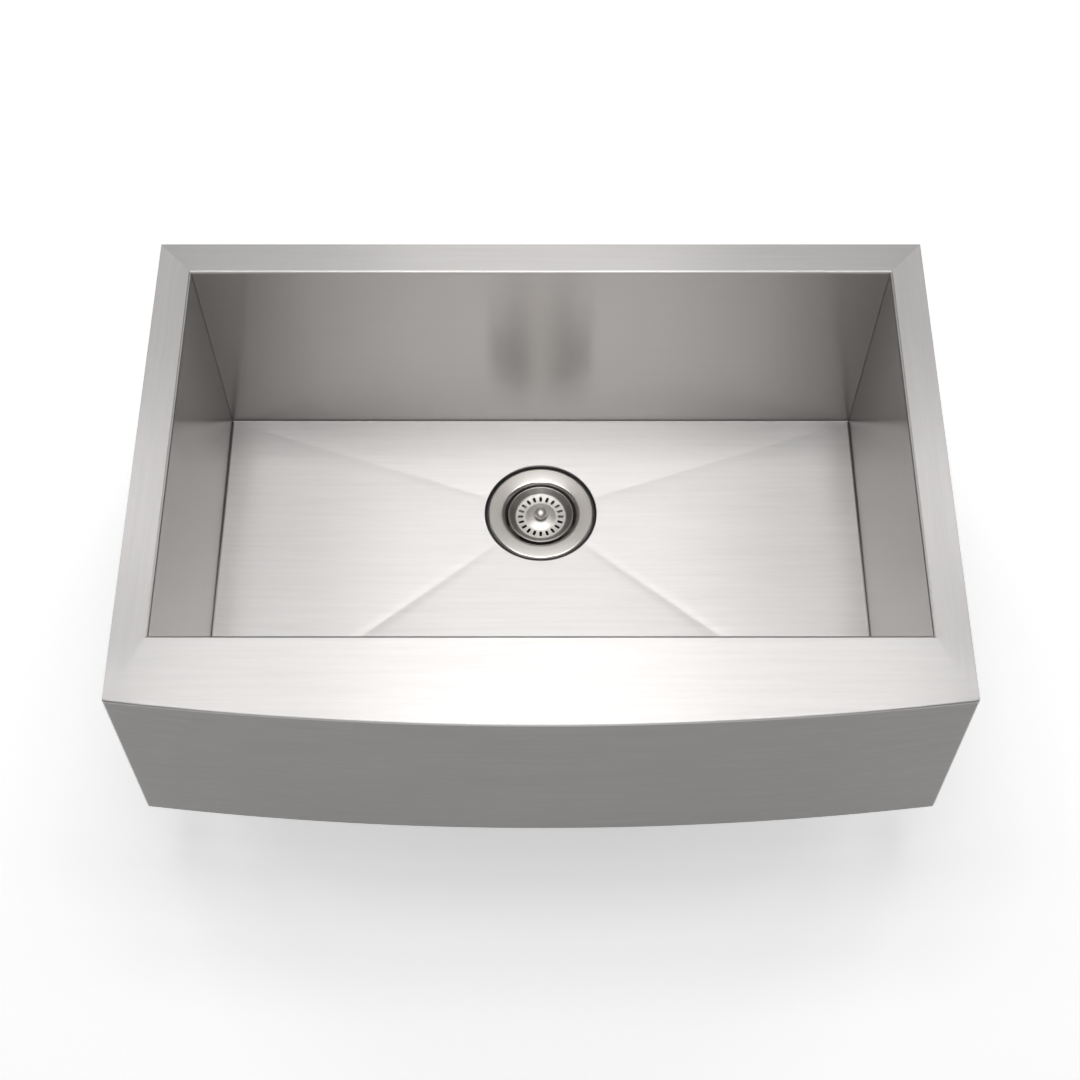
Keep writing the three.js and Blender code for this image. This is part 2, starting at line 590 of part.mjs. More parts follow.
// The threaded outlet under the cup, with a spider across its bore that guides the basket's stem.
function outletSpigot() {
  const collarLow = SPIGOT_TOP_Z - SPIGOT_COLLAR;
  const tube = turned(
    [
      [OUTLET_RADIUS, SPIGOT_END_Z],
      [SPIGOT_RADIUS, SPIGOT_END_Z],
      [SPIGOT_RADIUS, collarLow - 1],
      [SPIGOT_RADIUS + 1, collarLow],
      [SPIGOT_COLLAR_RADIUS, collarLow],
      [SPIGOT_COLLAR_RADIUS, SPIGOT_TOP_Z],
      [OUTLET_RADIUS, SPIGOT_TOP_Z],
    ],
    SMALL_ROUND,
  );
  const [low, high] = [SPIDER_TOP_Z - SPIDER_DEPTH, SPIDER_TOP_Z];
  const half = SPIDER_ARM_WIDTH / 2;
  const rooted = OUTLET_RADIUS + SPIGOT_WALL / 2;
  const plan = [[0, -half], [rooted, -half], [rooted, half], [0, half]];
  const arms = Array.from({ length: SPIDER_ARMS }, (_, i) =>
    prism(plan, low, high).rotate([0, 0, (360 / SPIDER_ARMS) * i]),
  );
  const hub = disc(SPIDER_HUB_RADIUS, low, high, SMALL_ROUND);
  const hole = disc(SPIDER_HOLE_RADIUS, low - OVERCUT, high + OVERCUT, SMALL_ROUND);
  return atDrain(union([tube, ...arms, hub]).subtract(hole));
}

const tailpieceWasher = () =>
  atDrain(ringOf(OUTLET_RADIUS, SPIGOT_RADIUS - GAP, WASHER_TOP_Z - WASHER_THICKNESS, WASHER_TOP_Z, SMALL_ROUND));

// The slip nut that holds a tailpiece against the washer, ribbed for the fingers.
function couplingNut() {
  const bore = SPIGOT_RADIUS + GAP;
  const outer = bore + COUPLING_WALL;
  const top = COUPLING_END_Z + COUPLING_HEIGHT;
  const chamfer = 1.2;
  const body = turned(
    [
      [OUTLET_RADIUS, COUPLING_END_Z],
      [outer - chamfer, COUPLING_END_Z],
      [outer, COUPLING_END_Z + chamfer],
      [outer, top - chamfer],
      [outer - chamfer, top],
      [bore, top],
      [bore, COUPLING_END_Z + COUPLING_LIP],
      [OUTLET_RADIUS, COUPLING_END_Z + COUPLING_LIP],
    ],
    SMALL_ROUND,
  );
  const ribs = Array.from({ length: COUPLING_RIBS }, (_, i) =>
    disc(COUPLING_RIB_RADIUS, COUPLING_END_Z + 2 * chamfer, top - 2 * chamfer, 12)
      .translate([outer - COUPLING_RIB_RADIUS / 3, 0, 0])
      .rotate([0, 0, (360 / COUPLING_RIBS) * i]),
  );
  return atDrain(union([body, ...ribs]));
}

// ---------------------------------------------------------------- basket

// Height of the low dome in the dish's floor, at a distance from the axis.
function domeHeight(radius) {
  const share = (BASKET_DOME_RADIUS - radius) / (BASKET_DOME_RADIUS - STEM_BORE);
  return BASKET_FLOOR_Z + BASKET_DOME_RISE * Math.sin((share * Math.PI) / 2);
}

// The lift-out dish: curled rim, sloping wall, a flat floor with a ring of radial slots and a low
// dome that carries the knob.
function basketDish() {
  const curlX = BASKET_RADIUS - BASKET_RIM_ROLL;
  const domeSteps = 4;
  const dome = (drop) =>
    Array.from({ length: domeSteps + 1 }, (_, i) => {
      const radius = THREE.MathUtils.lerp(BASKET_DOME_RADIUS, STEM_BORE, i / domeSteps);
      return [radius, domeHeight(radius) - drop];
    });
  const upper = [
    ...arc(curlX, BASKET_RIM_Z - BASKET_RIM_ROLL, BASKET_RIM_ROLL, -60, 130, 5),
    [BASKET_FLOOR_RADIUS + BASKET_SHEET, BASKET_FLOOR_Z + BASKET_SHEET],
    [BASKET_FLOOR_RADIUS - BASKET_SHEET, BASKET_FLOOR_Z],
    ...dome(0),
  ];
  const lower = [
    ...dome(BASKET_SHEET).reverse(),
    [BASKET_FLOOR_RADIUS - BASKET_SHEET / 2, BASKET_FLOOR_Z - BASKET_SHEET],
    [BASKET_FLOOR_RADIUS + 2 * BASKET_SHEET, BASKET_FLOOR_Z + BASKET_SHEET / 4],
  ];
  const endSteps = 3;
  const endCentre = SLOT_LENGTH / 2 - SLOT_WIDTH / 2;
  const plan = [
    ...arc(SLOT_RING_RADIUS - endCentre, 0, SLOT_WIDTH / 2, 90, 270, endSteps),
    ...arc(SLOT_RING_RADIUS + endCentre, 0, SLOT_WIDTH / 2, -90, 90, endSteps),
  ];
  const slots = Array.from({ length: SLOT_COUNT }, (_, i) =>
    prism(plan, BASKET_FLOOR_Z - OVERCUT, BASKET_FLOOR_Z + OVERCUT).rotate([0, 0, (360 / SLOT_COUNT) * i]),
  );
  return atDrain(turned([...upper, ...lower]).subtract(union(slots)));
}

// A mushroom-shaped pull with a blind hole for the stem.
function basketKnob() {
  const top = KNOB_FOOT_Z + KNOB_HEIGHT;
  const holeEnd = KNOB_FOOT_Z + STEM_IN_KNOB + GAP;
  const capLow = KNOB_FOOT_Z + KNOB_HEIGHT * 0.45;
  const capRise = top - capLow;
  const capSteps = 5;
  const cap = Array.from({ length: capSteps + 1 }, (_, i) => {
    const angle = ((Math.PI / 2) * i) / capSteps;
    return [i === capSteps ? 0 : KNOB_RADIUS * Math.cos(angle), capLow + capRise * Math.sin(angle)];
  });
  const outline = [
    [0, holeEnd],
    [STEM_BORE, holeEnd],
    [STEM_BORE, KNOB_FOOT_Z],
    [KNOB_NECK_RADIUS + 1, KNOB_FOOT_Z],
    [KNOB_NECK_RADIUS, KNOB_FOOT_Z + 1],
    [KNOB_NECK_RADIUS, capLow - 1],
    ...cap,
  ];
  return atDrain(turned(outline, SMALL_ROUND));
}

// The stem screws into the knob and runs through the dish, the stopper and the nut. A thicker
// length between the dish and the stopper keeps them apart.
function basketStem() {
  const shoulderLow = STOPPER_TOP_Z + GAP;
  const shoulderHigh = domeHeight(STEM_SHOULDER_RADIUS) - BASKET_SHEET - GAP;
  const outline = [
    [0, STEM_END_Z],
    [STEM_RADIUS, STEM_END_Z],
    [STEM_RADIUS, shoulderLow],
    [STEM_SHOULDER_RADIUS, shoulderLow],
    [STEM_SHOULDER_RADIUS, shoulderHigh],
    [STEM_RADIUS, shoulderHigh],
    [STEM_RADIUS, KNOB_FOOT_Z + STEM_IN_KNOB],
    [0, KNOB_FOOT_Z + STEM_IN_KNOB],
  ];
  return atDrain(turned(outline, SMALL_ROUND / 2));
}

// A bell-shaped rubber stopper whose lip seals on the cup's floor round the outlet.
function basketStopper() {
  const curve = Array.from({ length: 6 }, (_, i) => {
    const share = i / 5;
    const radius = THREE.MathUtils.lerp(STOPPER_RADIUS, STOPPER_HUB_RADIUS, Math.sin((share * Math.PI) / 2));
    return [radius, THREE.MathUtils.lerp(STOPPER_FOOT_Z + STOPPER_LIP, STOPPER_TOP_Z, share)];
  });
  return atDrain(
    turned(
      [[STEM_BORE, STOPPER_FOOT_Z], [STOPPER_RADIUS, STOPPER_FOOT_Z], ...curve, [STEM_BORE, STOPPER_TOP_Z]],
      SMALL_ROUND,
    ),
  );
}

function stemNut() {
  const hexagon = Array.from({ length: 6 }, (_, i) => {
    const angle = (Math.PI / 3) * i;
    return [STEM_NUT_RADIUS * Math.cos(angle), STEM_NUT_RADIUS * Math.sin(angle)];
  });
  const [low, high] = [STEM_NUT_TOP_Z - STEM_NUT_HEIGHT, STEM_NUT_TOP_Z];
  const bore = disc(STEM_BORE, low - OVERCUT, high + OVERCUT, SMALL_ROUND / 2);
  return atDrain(prism(hexagon, low, high).subtract(bore));
}

// A bent strip under the stem. Its legs spring against the spider's hole, and hold the basket up.
function stemClip() {
  const top = STEM_END_Z - GAP;
  const outer = [
    [STEM_RADIUS * 0.8, top],
    [STEM_RADIUS * 0.7, top - CLIP_LENGTH * 0.3],
    [CLIP_BULGE, top - CLIP_LENGTH * 0.55],
    [STEM_RADIUS * 0.75, top - CLIP_LENGTH * 0.85],
    [STEM_RADIUS * 0.3, top - CLIP_LENGTH],
  ];
  const inner = outer.map(([y, z], i) => [y - CLIP_STRIP, i === 4 ? z + CLIP_STRIP : z]).slice(1, 4);
  const mirrored = (points) => points.map(([y, z]) => [-y, z]).reverse();
  const bridge = top - CLIP_STRIP;
  const insideTop = outer[0][0] - CLIP_STRIP;
  const outline = [
    ...outer,
    ...mirrored(outer),
    [-insideTop, bridge],
    ...mirrored(inner).reverse(),
    [0, top - CLIP_LENGTH + CLIP_STRIP],
    ...inner.slice().reverse(),
    [insideTop, bridge],
  ];
  return atDrain(sideProfile(outline, CLIP_WIDTH, 0));
}

// ---------------------------------------------------------------- assembly

const sink = new THREE.Group();
sink.name = "apron_front_sink";

sink.add(toMesh("bowl_shell", bowlShell(), brushedSteel));
sink.add(toMesh("apron_panel", apronPanel(), brushedSteel));
sink.add(toMesh("apron_bracket_left", apronBracket(-BRACKET_SPREAD / 2), brushedSteel));
sink.add(toMesh("apron_bracket_right", apronBracket(BRACKET_SPREAD / 2), brushedSteel));

for (const side of ["left", "right", "front", "back"]) {
  sink.add(toMesh(`floor_pad_${side}`, floorPad(side), padRubber));
  sink.add(toMesh(`wall_pad_${side}`, wallPad(side), padRubber));
}
sink.add(toMesh("apron_pad", apronPad(), padRubber));

sink.add(toMesh("strainer_cup", strainerCup(), satinSteel));
sink.add(toMesh("flange_seal", flangeSeal(), sealRubber));
sink.add(toMesh("sink_gasket", sinkGasket(), sealRubber));
sink.add(toMesh("friction_ring", frictionRing(), fibre));
sink.add(toMesh("locknut", locknut(), castZinc));
sink.add(toMesh("outlet_spigot", outletSpigot(), castZinc));
sink.add(toMesh("tailpiece_washer", tailpieceWasher(), whitePlastic));
sink.add(toMesh("coupling_nut", couplingNut(), castZinc));

sink.add(toMesh("basket_dish", basketDish(), satinSteel));
sink.add(toMesh("basket_knob", basketKnob(), satinSteel));
sink.add(toMesh("basket_stem", basketStem(), satinSteel));
sink.add(toMesh("basket_stopper", basketStopper(), sealRubber));
sink.add(toMesh("stem_nut", stemNut(), castZinc));
sink.add(toMesh("stem_clip", stemClip(), satinSteel));

export default sink;
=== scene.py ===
# %% [markdown]
# # An apron front kitchen sink in brushed stainless steel
#
# The sizes of this sink are settled in its solid model. This lesson loads those solids, sets a
# camera where the photographer stood, and then gives each piece the surface that the real one has:
# folds with a true radius, brushing that runs along each sheet, turned rings, threads and moulded
# rubber.
#
# Lengths are written in millimetres, as on a drawing, and become metres where a mesh is made.

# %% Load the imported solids
import math

import bpy
import bmesh
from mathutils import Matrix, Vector


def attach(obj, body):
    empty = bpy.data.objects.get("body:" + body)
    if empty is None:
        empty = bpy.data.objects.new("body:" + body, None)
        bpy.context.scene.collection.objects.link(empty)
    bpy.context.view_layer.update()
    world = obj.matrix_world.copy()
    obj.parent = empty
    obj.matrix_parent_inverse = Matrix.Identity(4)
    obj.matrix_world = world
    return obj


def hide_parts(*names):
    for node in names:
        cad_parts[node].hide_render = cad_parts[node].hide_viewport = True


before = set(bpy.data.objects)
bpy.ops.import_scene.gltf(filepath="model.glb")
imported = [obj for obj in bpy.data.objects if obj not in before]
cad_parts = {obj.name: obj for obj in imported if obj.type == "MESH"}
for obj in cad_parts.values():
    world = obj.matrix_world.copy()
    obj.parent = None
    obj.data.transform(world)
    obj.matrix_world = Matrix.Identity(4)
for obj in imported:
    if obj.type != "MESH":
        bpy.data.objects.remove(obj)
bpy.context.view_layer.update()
MM = 0.001

# %% [markdown]
# ## The camera
#
# A camera's height and tilt show in how fast the side rims come together towards the back. The
# values below were fitted to the corners of the rims, of the opening and of the floor, so every
# corner of the model falls within a pixel or two of the same corner in the picture.

# %% Camera
def put_in_scene(name, data):
    """A new object for a camera, a lamp or a mesh."""
    made = bpy.data.objects.new(name, data)
    bpy.context.scene.collection.objects.link(made)
    return made


lens = bpy.data.cameras.new("camera")
lens.sensor_width = 36
lens.lens = 63.75
lens.clip_start, lens.clip_end = 0.05, 50
camera = put_in_scene("camera", lens)
camera.location = (-0.00075, -1.0051, 1.4912)
TILT = 31.083
camera.rotation_euler = (math.radians(TILT), 0, 0)
bpy.context.scene.camera = camera
print("camera", round(camera.location.length, 3), "m from the middle of the rim")

# %% [markdown]
# ## Shader maths as plain expressions
#
# A material in Blender is a graph of nodes. Written by hand, even a sum of three values takes two
# nodes and several lines. The small class below wraps an output socket, so that
# `1 - streaks * 0.3` adds the Math nodes by itself. `Finish` starts a material with its main
# shader, and its `node` method makes any other node.

# %% A number that varies over a surface
def operator(operation, swapped=False):
    """A method of Number that stands for one operation of a Math node."""

    def method(self, *others):
        return self.maths(operation, *((*others, self) if swapped else (self, *others)))

    return method


class Number:
    def __init__(self, tree, socket):
        self.tree, self.socket = tree, socket

    def maths(self, operation, *values):
        made = self.tree.nodes.new("ShaderNodeMath")
        made.operation = operation
        for slot, value in zip(made.inputs, values):
            put(self.tree, slot, value)
        return Number(self.tree, made.outputs[0])

    __add__ = __radd__ = operator("ADD")
    __mul__ = __rmul__ = operator("MULTIPLY")
    __sub__, __rsub__ = operator("SUBTRACT"), operator("SUBTRACT", swapped=True)
    __pow__, __abs__ = operator("POWER"), operator("ABSOLUTE")

    def clamped(self):
        return self.maths("MAXIMUM", self.maths("MINIMUM", self, 1), 0)

    def step(self, low, high):
        """0 below low, 1 above high and a ramp between them."""
        return ((self - low) * (1 / (high - low))).clamped()


def put(tree, slot, value):
    """Links a socket, or sets its value."""
    if isinstance(value, Number):
        value = value.socket
    if isinstance(value, bpy.types.NodeSocket):
        tree.links.new(value, slot)
    else:
        slot.default_value = value


def named(node, name):
    """An input socket by its name, written with _ for a space."""
    wanted = name.replace("_", " ").lower()
    return next(s for s in node.inputs if s.name.lower() == wanted and s.enabled)


def grey(tone):
    return (tone, tone, tone, 1)


# %% A material with its main shader
class Finish:
    def __init__(self, name, **constants):
        self.material = bpy.data.materials.new(name)
        self.material.use_nodes = True
        self.tree = self.material.node_tree
        self.shader = self.tree.nodes["Principled BSDF"]
        for socket, value in constants.items():
            named(self.shader, socket).default_value = value

    def node(self, kind, output=0, **sockets):
        """One of the outputs of a new node, whose inputs are given by name."""
        made = self.tree.nodes.new("ShaderNode" + kind)
        for name, value in sockets.items():
            put(self.tree, named(made, name), value)
        return made.outputs[output]

    def place(self, stretch=(1, 1, 1)):
        """Where a point lies on the piece, in metres, stretched along the axes."""
        spot = self.node("TexCoord", output=3)
        return self.node("Mapping", Vector=spot, Scale=stretch)

    def parts(self):
        """The same place as three numbers."""
        spot = self.node("SeparateXYZ", Vector=self.place())
        return [Number(self.tree, part) for part in spot.node.outputs]

    def noise(self, scale, detail=2.0, stretch=(1, 1, 1), roughness=0.5, spot=None):
        spot = spot or self.place(stretch)
        made = self.node("TexNoise", Vector=spot, Scale=scale, Detail=detail, Roughness=roughness)
        return Number(self.tree, made)

    def blend(self, amount, first, second):
        """A colour between two colours."""
        made = self.tree.nodes.new("ShaderNodeMix")
        made.data_type = "RGBA"
        for slot, value in ((0, amount), (6, first), (7, second)):
            put(self.tree, made.inputs[slot], value)
        return made.outputs[2]

    def feed(self, **sockets):
        for name, value in sockets.items():
            put(self.tree, named(self.shader, name), value)

    def bump(self, height, depth_mm):
        """Small relief of a given depth, as a bent normal."""
        bent = self.node("Bump", Height=height, Distance=depth_mm * MM, Strength=1.0)
        self.feed(Normal=bent)


# %% [markdown]
# ## Brushed sheet
#
# The sheets are ground with a belt, so their scratches all run one way. Each scratch is too fine to
# see from a metre, but together they smear a reflection across the scratches and leave it sharp
# along them. Anisotropy does this in the shader. The streaks that the eye does see are a noise
# stretched thirty times along the grain, which shifts the colour and the gloss a little.
#
# Anisotropy needs to know which way the grain runs. It is a fixed direction for each sheet, so it
# is one constant vector, and a sheet brushed from left to right has another finish than one brushed
# from front to back. The front and the back rim take the same steel with a darker tone, which is
# painted shade; the front mirrors the shaded ground before it.

# %% Brushed steel, along X or along Y
STRETCH = 30
# Painted shade: the walls' colour darkens near their welded back corners.
CORNER_SHADE_START, CORNER_SHADE_REACH, CORNER_SHADE_TONE = 0.02, 0.12, 0.74


def brushed_steel(name, along, tone=0.66, gloss=0.35, streaks=1.0, corner_shade=None):
    steel = Finish(name, metallic=1.0, anisotropic=0.97, anisotropic_rotation=0.25)
    way = (1.0, 0.0) if along == "X" else (0.0, 1.0)
    grain = (*[1 if lies else STRETCH for lies in way], STRETCH)
    fine = steel.noise(60, 3.0, grain, 0.6)
    broad = steel.noise(7, 3.0, grain, 0.6)
    clouds = steel.noise(5)
    shade = (fine * 0.3 + broad * 0.5 + clouds * 0.2).step(0.3, 0.7)
    warm = Vector((tone * 1.017, tone * 0.99, tone * 0.974))
    bright, dull = warm * (1 + 0.06 * streaks), warm * (1 - 0.06 * streaks)
    colour = steel.blend(shade, (*dull, 1), (*bright, 1))
    # Painted shade: the colour darkens towards the corner seam.
    if corner_shade:
        x, y, _ = steel.parts()
        out_of_shade = corner_shade(x, y).step(CORNER_SHADE_START, CORNER_SHADE_REACH)
        colour = steel.blend(out_of_shade, (*warm * CORNER_SHADE_TONE, 1), colour)
    wear = (1 - fine) * 0.06 + (1 - broad) * 0.04 - 0.05
    steel.feed(base_color=colour, roughness=wear * streaks + gloss)
    steel.feed(tangent=steel.node("CombineXYZ", X=way[0], Y=way[1]))
    steel.bump(fine, 0.004 * streaks**3)
    return steel.material


across = brushed_steel("brushed_across", "X")
fore_and_aft = brushed_steel("brushed_fore_and_aft", "Y")
# The front's darker tone is painted shade, for the shaded ground that it mirrors.
front = brushed_steel("brushed_front_painted_shade", "X", tone=0.32)
# The back rim's darker tone is painted shade.
shaded_back_rim = brushed_steel("brushed_back_rim_painted_shade", "X", tone=0.57)
print("brushed finishes", [m.name for m in (across, fore_and_aft, front, shaded_back_rim)])

# %% [markdown]
# The belt runs along flat sheet and can't follow a fold of two millimetres, so the folds have no
# grain. Their colour is darker too: painted shade, which draws a fine dark line round every face of
# the bowl and round the drain's recess.

# %% Finishes without a direction
def grained(
    name, dark, light, dullness, grain, wear, clouds=None, stain=0, depth_mm=0, **constants
):
    """A fine grain that wears the surface dull, and broad stains that tint it too. grain and clouds
    hold the scale and the detail of two noises."""
    finish = Finish(name, **constants)
    fine = tint = finish.noise(*grain)
    roughness = dullness + fine * wear
    if clouds:
        tint = finish.noise(*clouds)
        roughness = roughness + tint * stain
    finish.feed(base_color=finish.blend(tint, dark, light), roughness=roughness)
    if depth_mm:
        finish.bump(fine, depth_mm)
    return finish.material


# Painted shade: the folds' colour is darker than the flat sheet's.
fold_shade_tones = (0.36, 0.355, 0.35, 1), (0.46, 0.45, 0.44, 1)
shaded_folds = grained("fold_steel_painted_shade", *fold_shade_tones, 0.27, (160, 3.0), 0.06, metallic=1.0)

# %% [markdown]
# The backs of the sheets are never polished. They keep the dull, slightly pitted skin of the
# rolling mill.

# %% Mill finish
mill_tones = (0.44, 0.44, 0.44, 1), (0.55, 0.545, 0.54, 1)
pits = (260, 4.0, (1, 3, 3))
mill = grained("mill_finish", *mill_tones, 0.42, pits, 0.06, (9, 3.0), 0.1, 0.01, metallic=1.0)

# %% [markdown]
# ## Making a piece
#
# Every piece below comes from a list of points and a list of faces. `make_piece` turns them into a
# mesh, shades its curves smooth and its corners and open edges sharp, hangs it on the body that
# moves it, and names the solid that it stands for, which is the one with its own name unless
# another is given. Faces may each take their own finish from the list.

# %% From points and faces to a piece
WELD, SLIVER = 0.002, 0.001


def make_piece(
    name, points, faces, finishes, slot,
    solid=None, body="sink", patches=None, sharp=32, closed=True,
):
    mesh = bpy.data.meshes.new(name)
    mesh.from_pydata([Vector(p) * MM for p in points], [], faces)
    for finish in finishes:
        mesh.materials.append(finish)
    if patches:
        mesh.polygons.foreach_set("material_index", patches)
    work = bmesh.new()
    work.from_mesh(mesh)
    bmesh.ops.remove_doubles(work, verts=work.verts, dist=WELD * MM)
    bmesh.ops.dissolve_degenerate(work, edges=work.edges, dist=SLIVER * MM)
    if closed:
        bmesh.ops.recalc_face_normals(work, faces=work.faces)
    work.to_mesh(mesh)
    work.free()
    mesh.shade_smooth()
    mesh.set_sharp_from_angle(angle=math.radians(sharp))
    sides = [0] * len(mesh.edges)
    for loop in mesh.loops:
        sides[loop.edge_index] += 1
    for edge, count in zip(mesh.edges, sides):
        if count == 1:
            edge.use_edge_sharp = True
    piece = put_in_scene(name, mesh)
    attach(piece, body)
    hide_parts(solid or name)
    print(name, len(mesh.polygons), "faces")
    return piece


def skin(first, rings, inward=False, wrap=True):
    """Faces between rings of equally many points, numbered from first."""
    size = len(rings[0])
    faces = []
    for r in range(len(rings) - 1):
        for i in range(size if wrap else size - 1):
            j = (i + 1) % size
            a, b = first + r * size + i, first + r * size + j
            quad = (a, b, b + size, a + size)
            faces.append(quad[::-1] if inward else quad)
    return faces


def arc(a, b, radius, start, end, steps):
    """Points of an arc round (a, b), from one angle to another in degrees."""
    angles = [math.radians(start + (end - start) * i / steps) for i in range(steps + 1)]
    return [(a + radius * math.cos(t), b + radius * math.sin(t)) for t in angles]


# %% [markdown]
# ## The bowl
#
# The bowl is one blank, folded up into four walls and out again into the side and back rims. Its
# walls lean inwards a little, and its floor falls to the drain in four facets. The facets meet in
# pressed creases that catch the light as a soft X.
#
# A level of the bowl is a rectangle with small rounded corners, so the whole bowl is a stack of
# such rings. Their points are spaced evenly as seen from the drain, because the floor's rings carry
# on from them towards the drain, and crowd together near the corners, where the creases run.

# %% Sizes of the bowl
SHEET, BEND, FLOOR_BEND = 1.5, 2.5, 2
HALF_WIDTH, HALF_LENGTH = 695 / 2, 409 / 2
BOWL_DEPTH, FLOOR_FALL = 248, 6
SIDE_DRAFT, FRONT_DRAFT, BACK_DRAFT = 8, 6.5, 7.5
DRAIN_Y = HALF_LENGTH - BACK_DRAFT - 116.5
SEAM_Y = -HALF_LENGTH - BEND
OUTER_X, BACK_Y, CORNER_Y = 381, 240.5, -270
RECESS, RECESS_DEPTH, DRAIN_HOLE = 59.5, 2.6, 44.5
CORNER_STEPS, SIDE_STEPS, BEND_STEPS = 4, 40, 8
CROWDING = 0.7


def walls_at(z, outwards=0.0):
    share = -z / BOWL_DEPTH
    return (
        HALF_WIDTH - SIDE_DRAFT * share + outwards,
        -HALF_LENGTH + FRONT_DRAFT * share - outwards,
        HALF_LENGTH - BACK_DRAFT * share + outwards,
    )


# %% Where the points of a ring go
def spread(near, far, distance):
    """Shares along a straight side that look evenly spaced from the drain, closer at the ends."""
    low, high = math.atan2(near, distance), math.atan2(far, distance)
    shares = []
    for i in range(1, SIDE_STEPS):
        t = i / SIDE_STEPS
        t -= CROWDING * math.sin(2 * math.pi * t) / (2 * math.pi)
        shares.append((distance * math.tan(low + (high - low) * t) - near) / (far - near))
    return shares


foot_side, foot_front, foot_back = walls_at(-BOWL_DEPTH, -FLOOR_BEND)
side_shares = {
    "right": spread(foot_front - DRAIN_Y, foot_back - DRAIN_Y, foot_side),
    "back": spread(-foot_side, foot_side, foot_back - DRAIN_Y),
    "left": spread(DRAIN_Y - foot_back, DRAIN_Y - foot_front, foot_side),
    "front": spread(-foot_side, foot_side, DRAIN_Y - foot_front),
}


def bowl_ring(z, outwards, corner):
    """One level of the bowl, anticlockwise from its front right corner."""
    side, front, back = walls_at(z, outwards)
    corners = ((side, front, 270), (side, back, 0), (-side, back, 90), (-side, front, 180))
    arcs = []
    for x, y, start in corners:
        inner_x, inner_y = x - math.copysign(corner, x), y - math.copysign(corner, y)
        arcs.append(arc(inner_x, inner_y, corner, start, start + 90, CORNER_STEPS))
    points = []
    for k, shares in enumerate(side_shares.values()):
        points += arcs[k]
        (x0, y0), (x1, y1) = arcs[k][-1], arcs[(k + 1) % 4][0]
        points += [(x0 + (x1 - x0) * s, y0 + (y1 - y0) * s) for s in shares]
    return [(x, y, z) for x, y in points]


print("points in a ring of the bowl:", len(bowl_ring(0, BEND, 0)))

# %% [markdown]
# The walls of the bowl are harder to reach with the belt and keep more of the sheet's own gloss.
# At the two back corners, where the walls are welded, the colour turns darker over the last
# centimetres: painted shade in the corners. How far a point lies from the seam blends the two.

# %% Steel in the walls
back_wall = brushed_steel(
    "brushed_back_wall_corner_shade", "X", gloss=0.28, streaks=0.3, corner_shade=lambda x, y: HALF_WIDTH * MM - abs(x)
)
side_walls = brushed_steel(
    "brushed_side_walls_corner_shade", "Y", gloss=0.21, streaks=0.3, corner_shade=lambda x, y: HALF_LENGTH * MM - y
)
print("wall finishes", back_wall.name, side_walls.name)

# %% [markdown]
# The floor is four flat facets, and the share of its fall at a point is the largest of four planes.
# A plain maximum would crease like folded paper. A logarithm of summed powers has the same flats
# and turns from one to the next over a few degrees, like the radius that a press leaves. The
# press's edge also leaves a groove of a fifth of a millimetre along each crease, which guides the
# last water to the drain.

# %% Height of the creased floor
CREASE_SOFTNESS = 0.03
GROOVE_DEPTH, GROOVE_WIDTH, GROOVE_END = 0.22, 5, 12
LIP, WALL_BLEND = RECESS + 0.8, 18
crease_ways = [
    Vector((x, y - DRAIN_Y)).normalized()
    for x in (-foot_side, foot_side)
    for y in (foot_front, foot_back)
]


def fall_share(dx, dy):
    """1 / the distance to the foot of the walls in a direction, rounded at the creases."""
    across, along = abs(dx) / foot_side, dy / (foot_back - DRAIN_Y)
    planes = (across, -across, along, -dy / (DRAIN_Y - foot_front))
    top = max(planes)
    soft = CREASE_SOFTNESS * top
    return top + soft * math.log(sum(math.exp((p - top) / soft) for p in planes))


def groove(dx, dy, radius):
    """Depth of the press's mark at a point in a direction from the drain."""
    offs = (abs(dx * w.y - dy * w.x) if dx * w.x + dy * w.y > 0 else 1 for w in crease_ways)
    return GROOVE_DEPTH * math.exp(-((min(offs) * radius / GROOVE_WIDTH) ** 2))


CORNER, FOOT_CORNER = 0.8, 0.4
rays = []
for x, y, _ in bowl_ring(-BOWL_DEPTH, -FLOOR_BEND, FOOT_CORNER):
    reach = math.hypot(x, y - DRAIN_Y)
    rays.append((x / reach, (y - DRAIN_Y) / reach, reach))


def floor_ring(share):
    """A ring part of the way from the foot of the walls, at share 0, to the drain's recess."""
    points = []
    for dx, dy, reach in rays:
        radius = reach + (LIP - reach) * share
        rounded, pinned = fall_share(dx, dy), 1 / reach
        near_wall = max(0.0, 1 - (reach - radius) / WALL_BLEND) ** 2
        slope = rounded + (pinned - rounded) * near_wall
        fade = (1 - near_wall) * min(1.0, (radius - LIP) / GROOVE_END)
        z = -BOWL_DEPTH - FLOOR_FALL * (1 - slope * radius) - groove(dx, dy, radius) * fade
        points.append((dx * radius, DRAIN_Y + dy * radius, z))
    return points


# %% Rings of the bowl, from the drain hole up to the rim
def recess_ring(radius, heights):
    """A circle round the drain with a height for each of its points."""
    return [(dx * radius, DRAIN_Y + dy * radius, z) for (dx, dy, _), z in zip(rays, heights)]


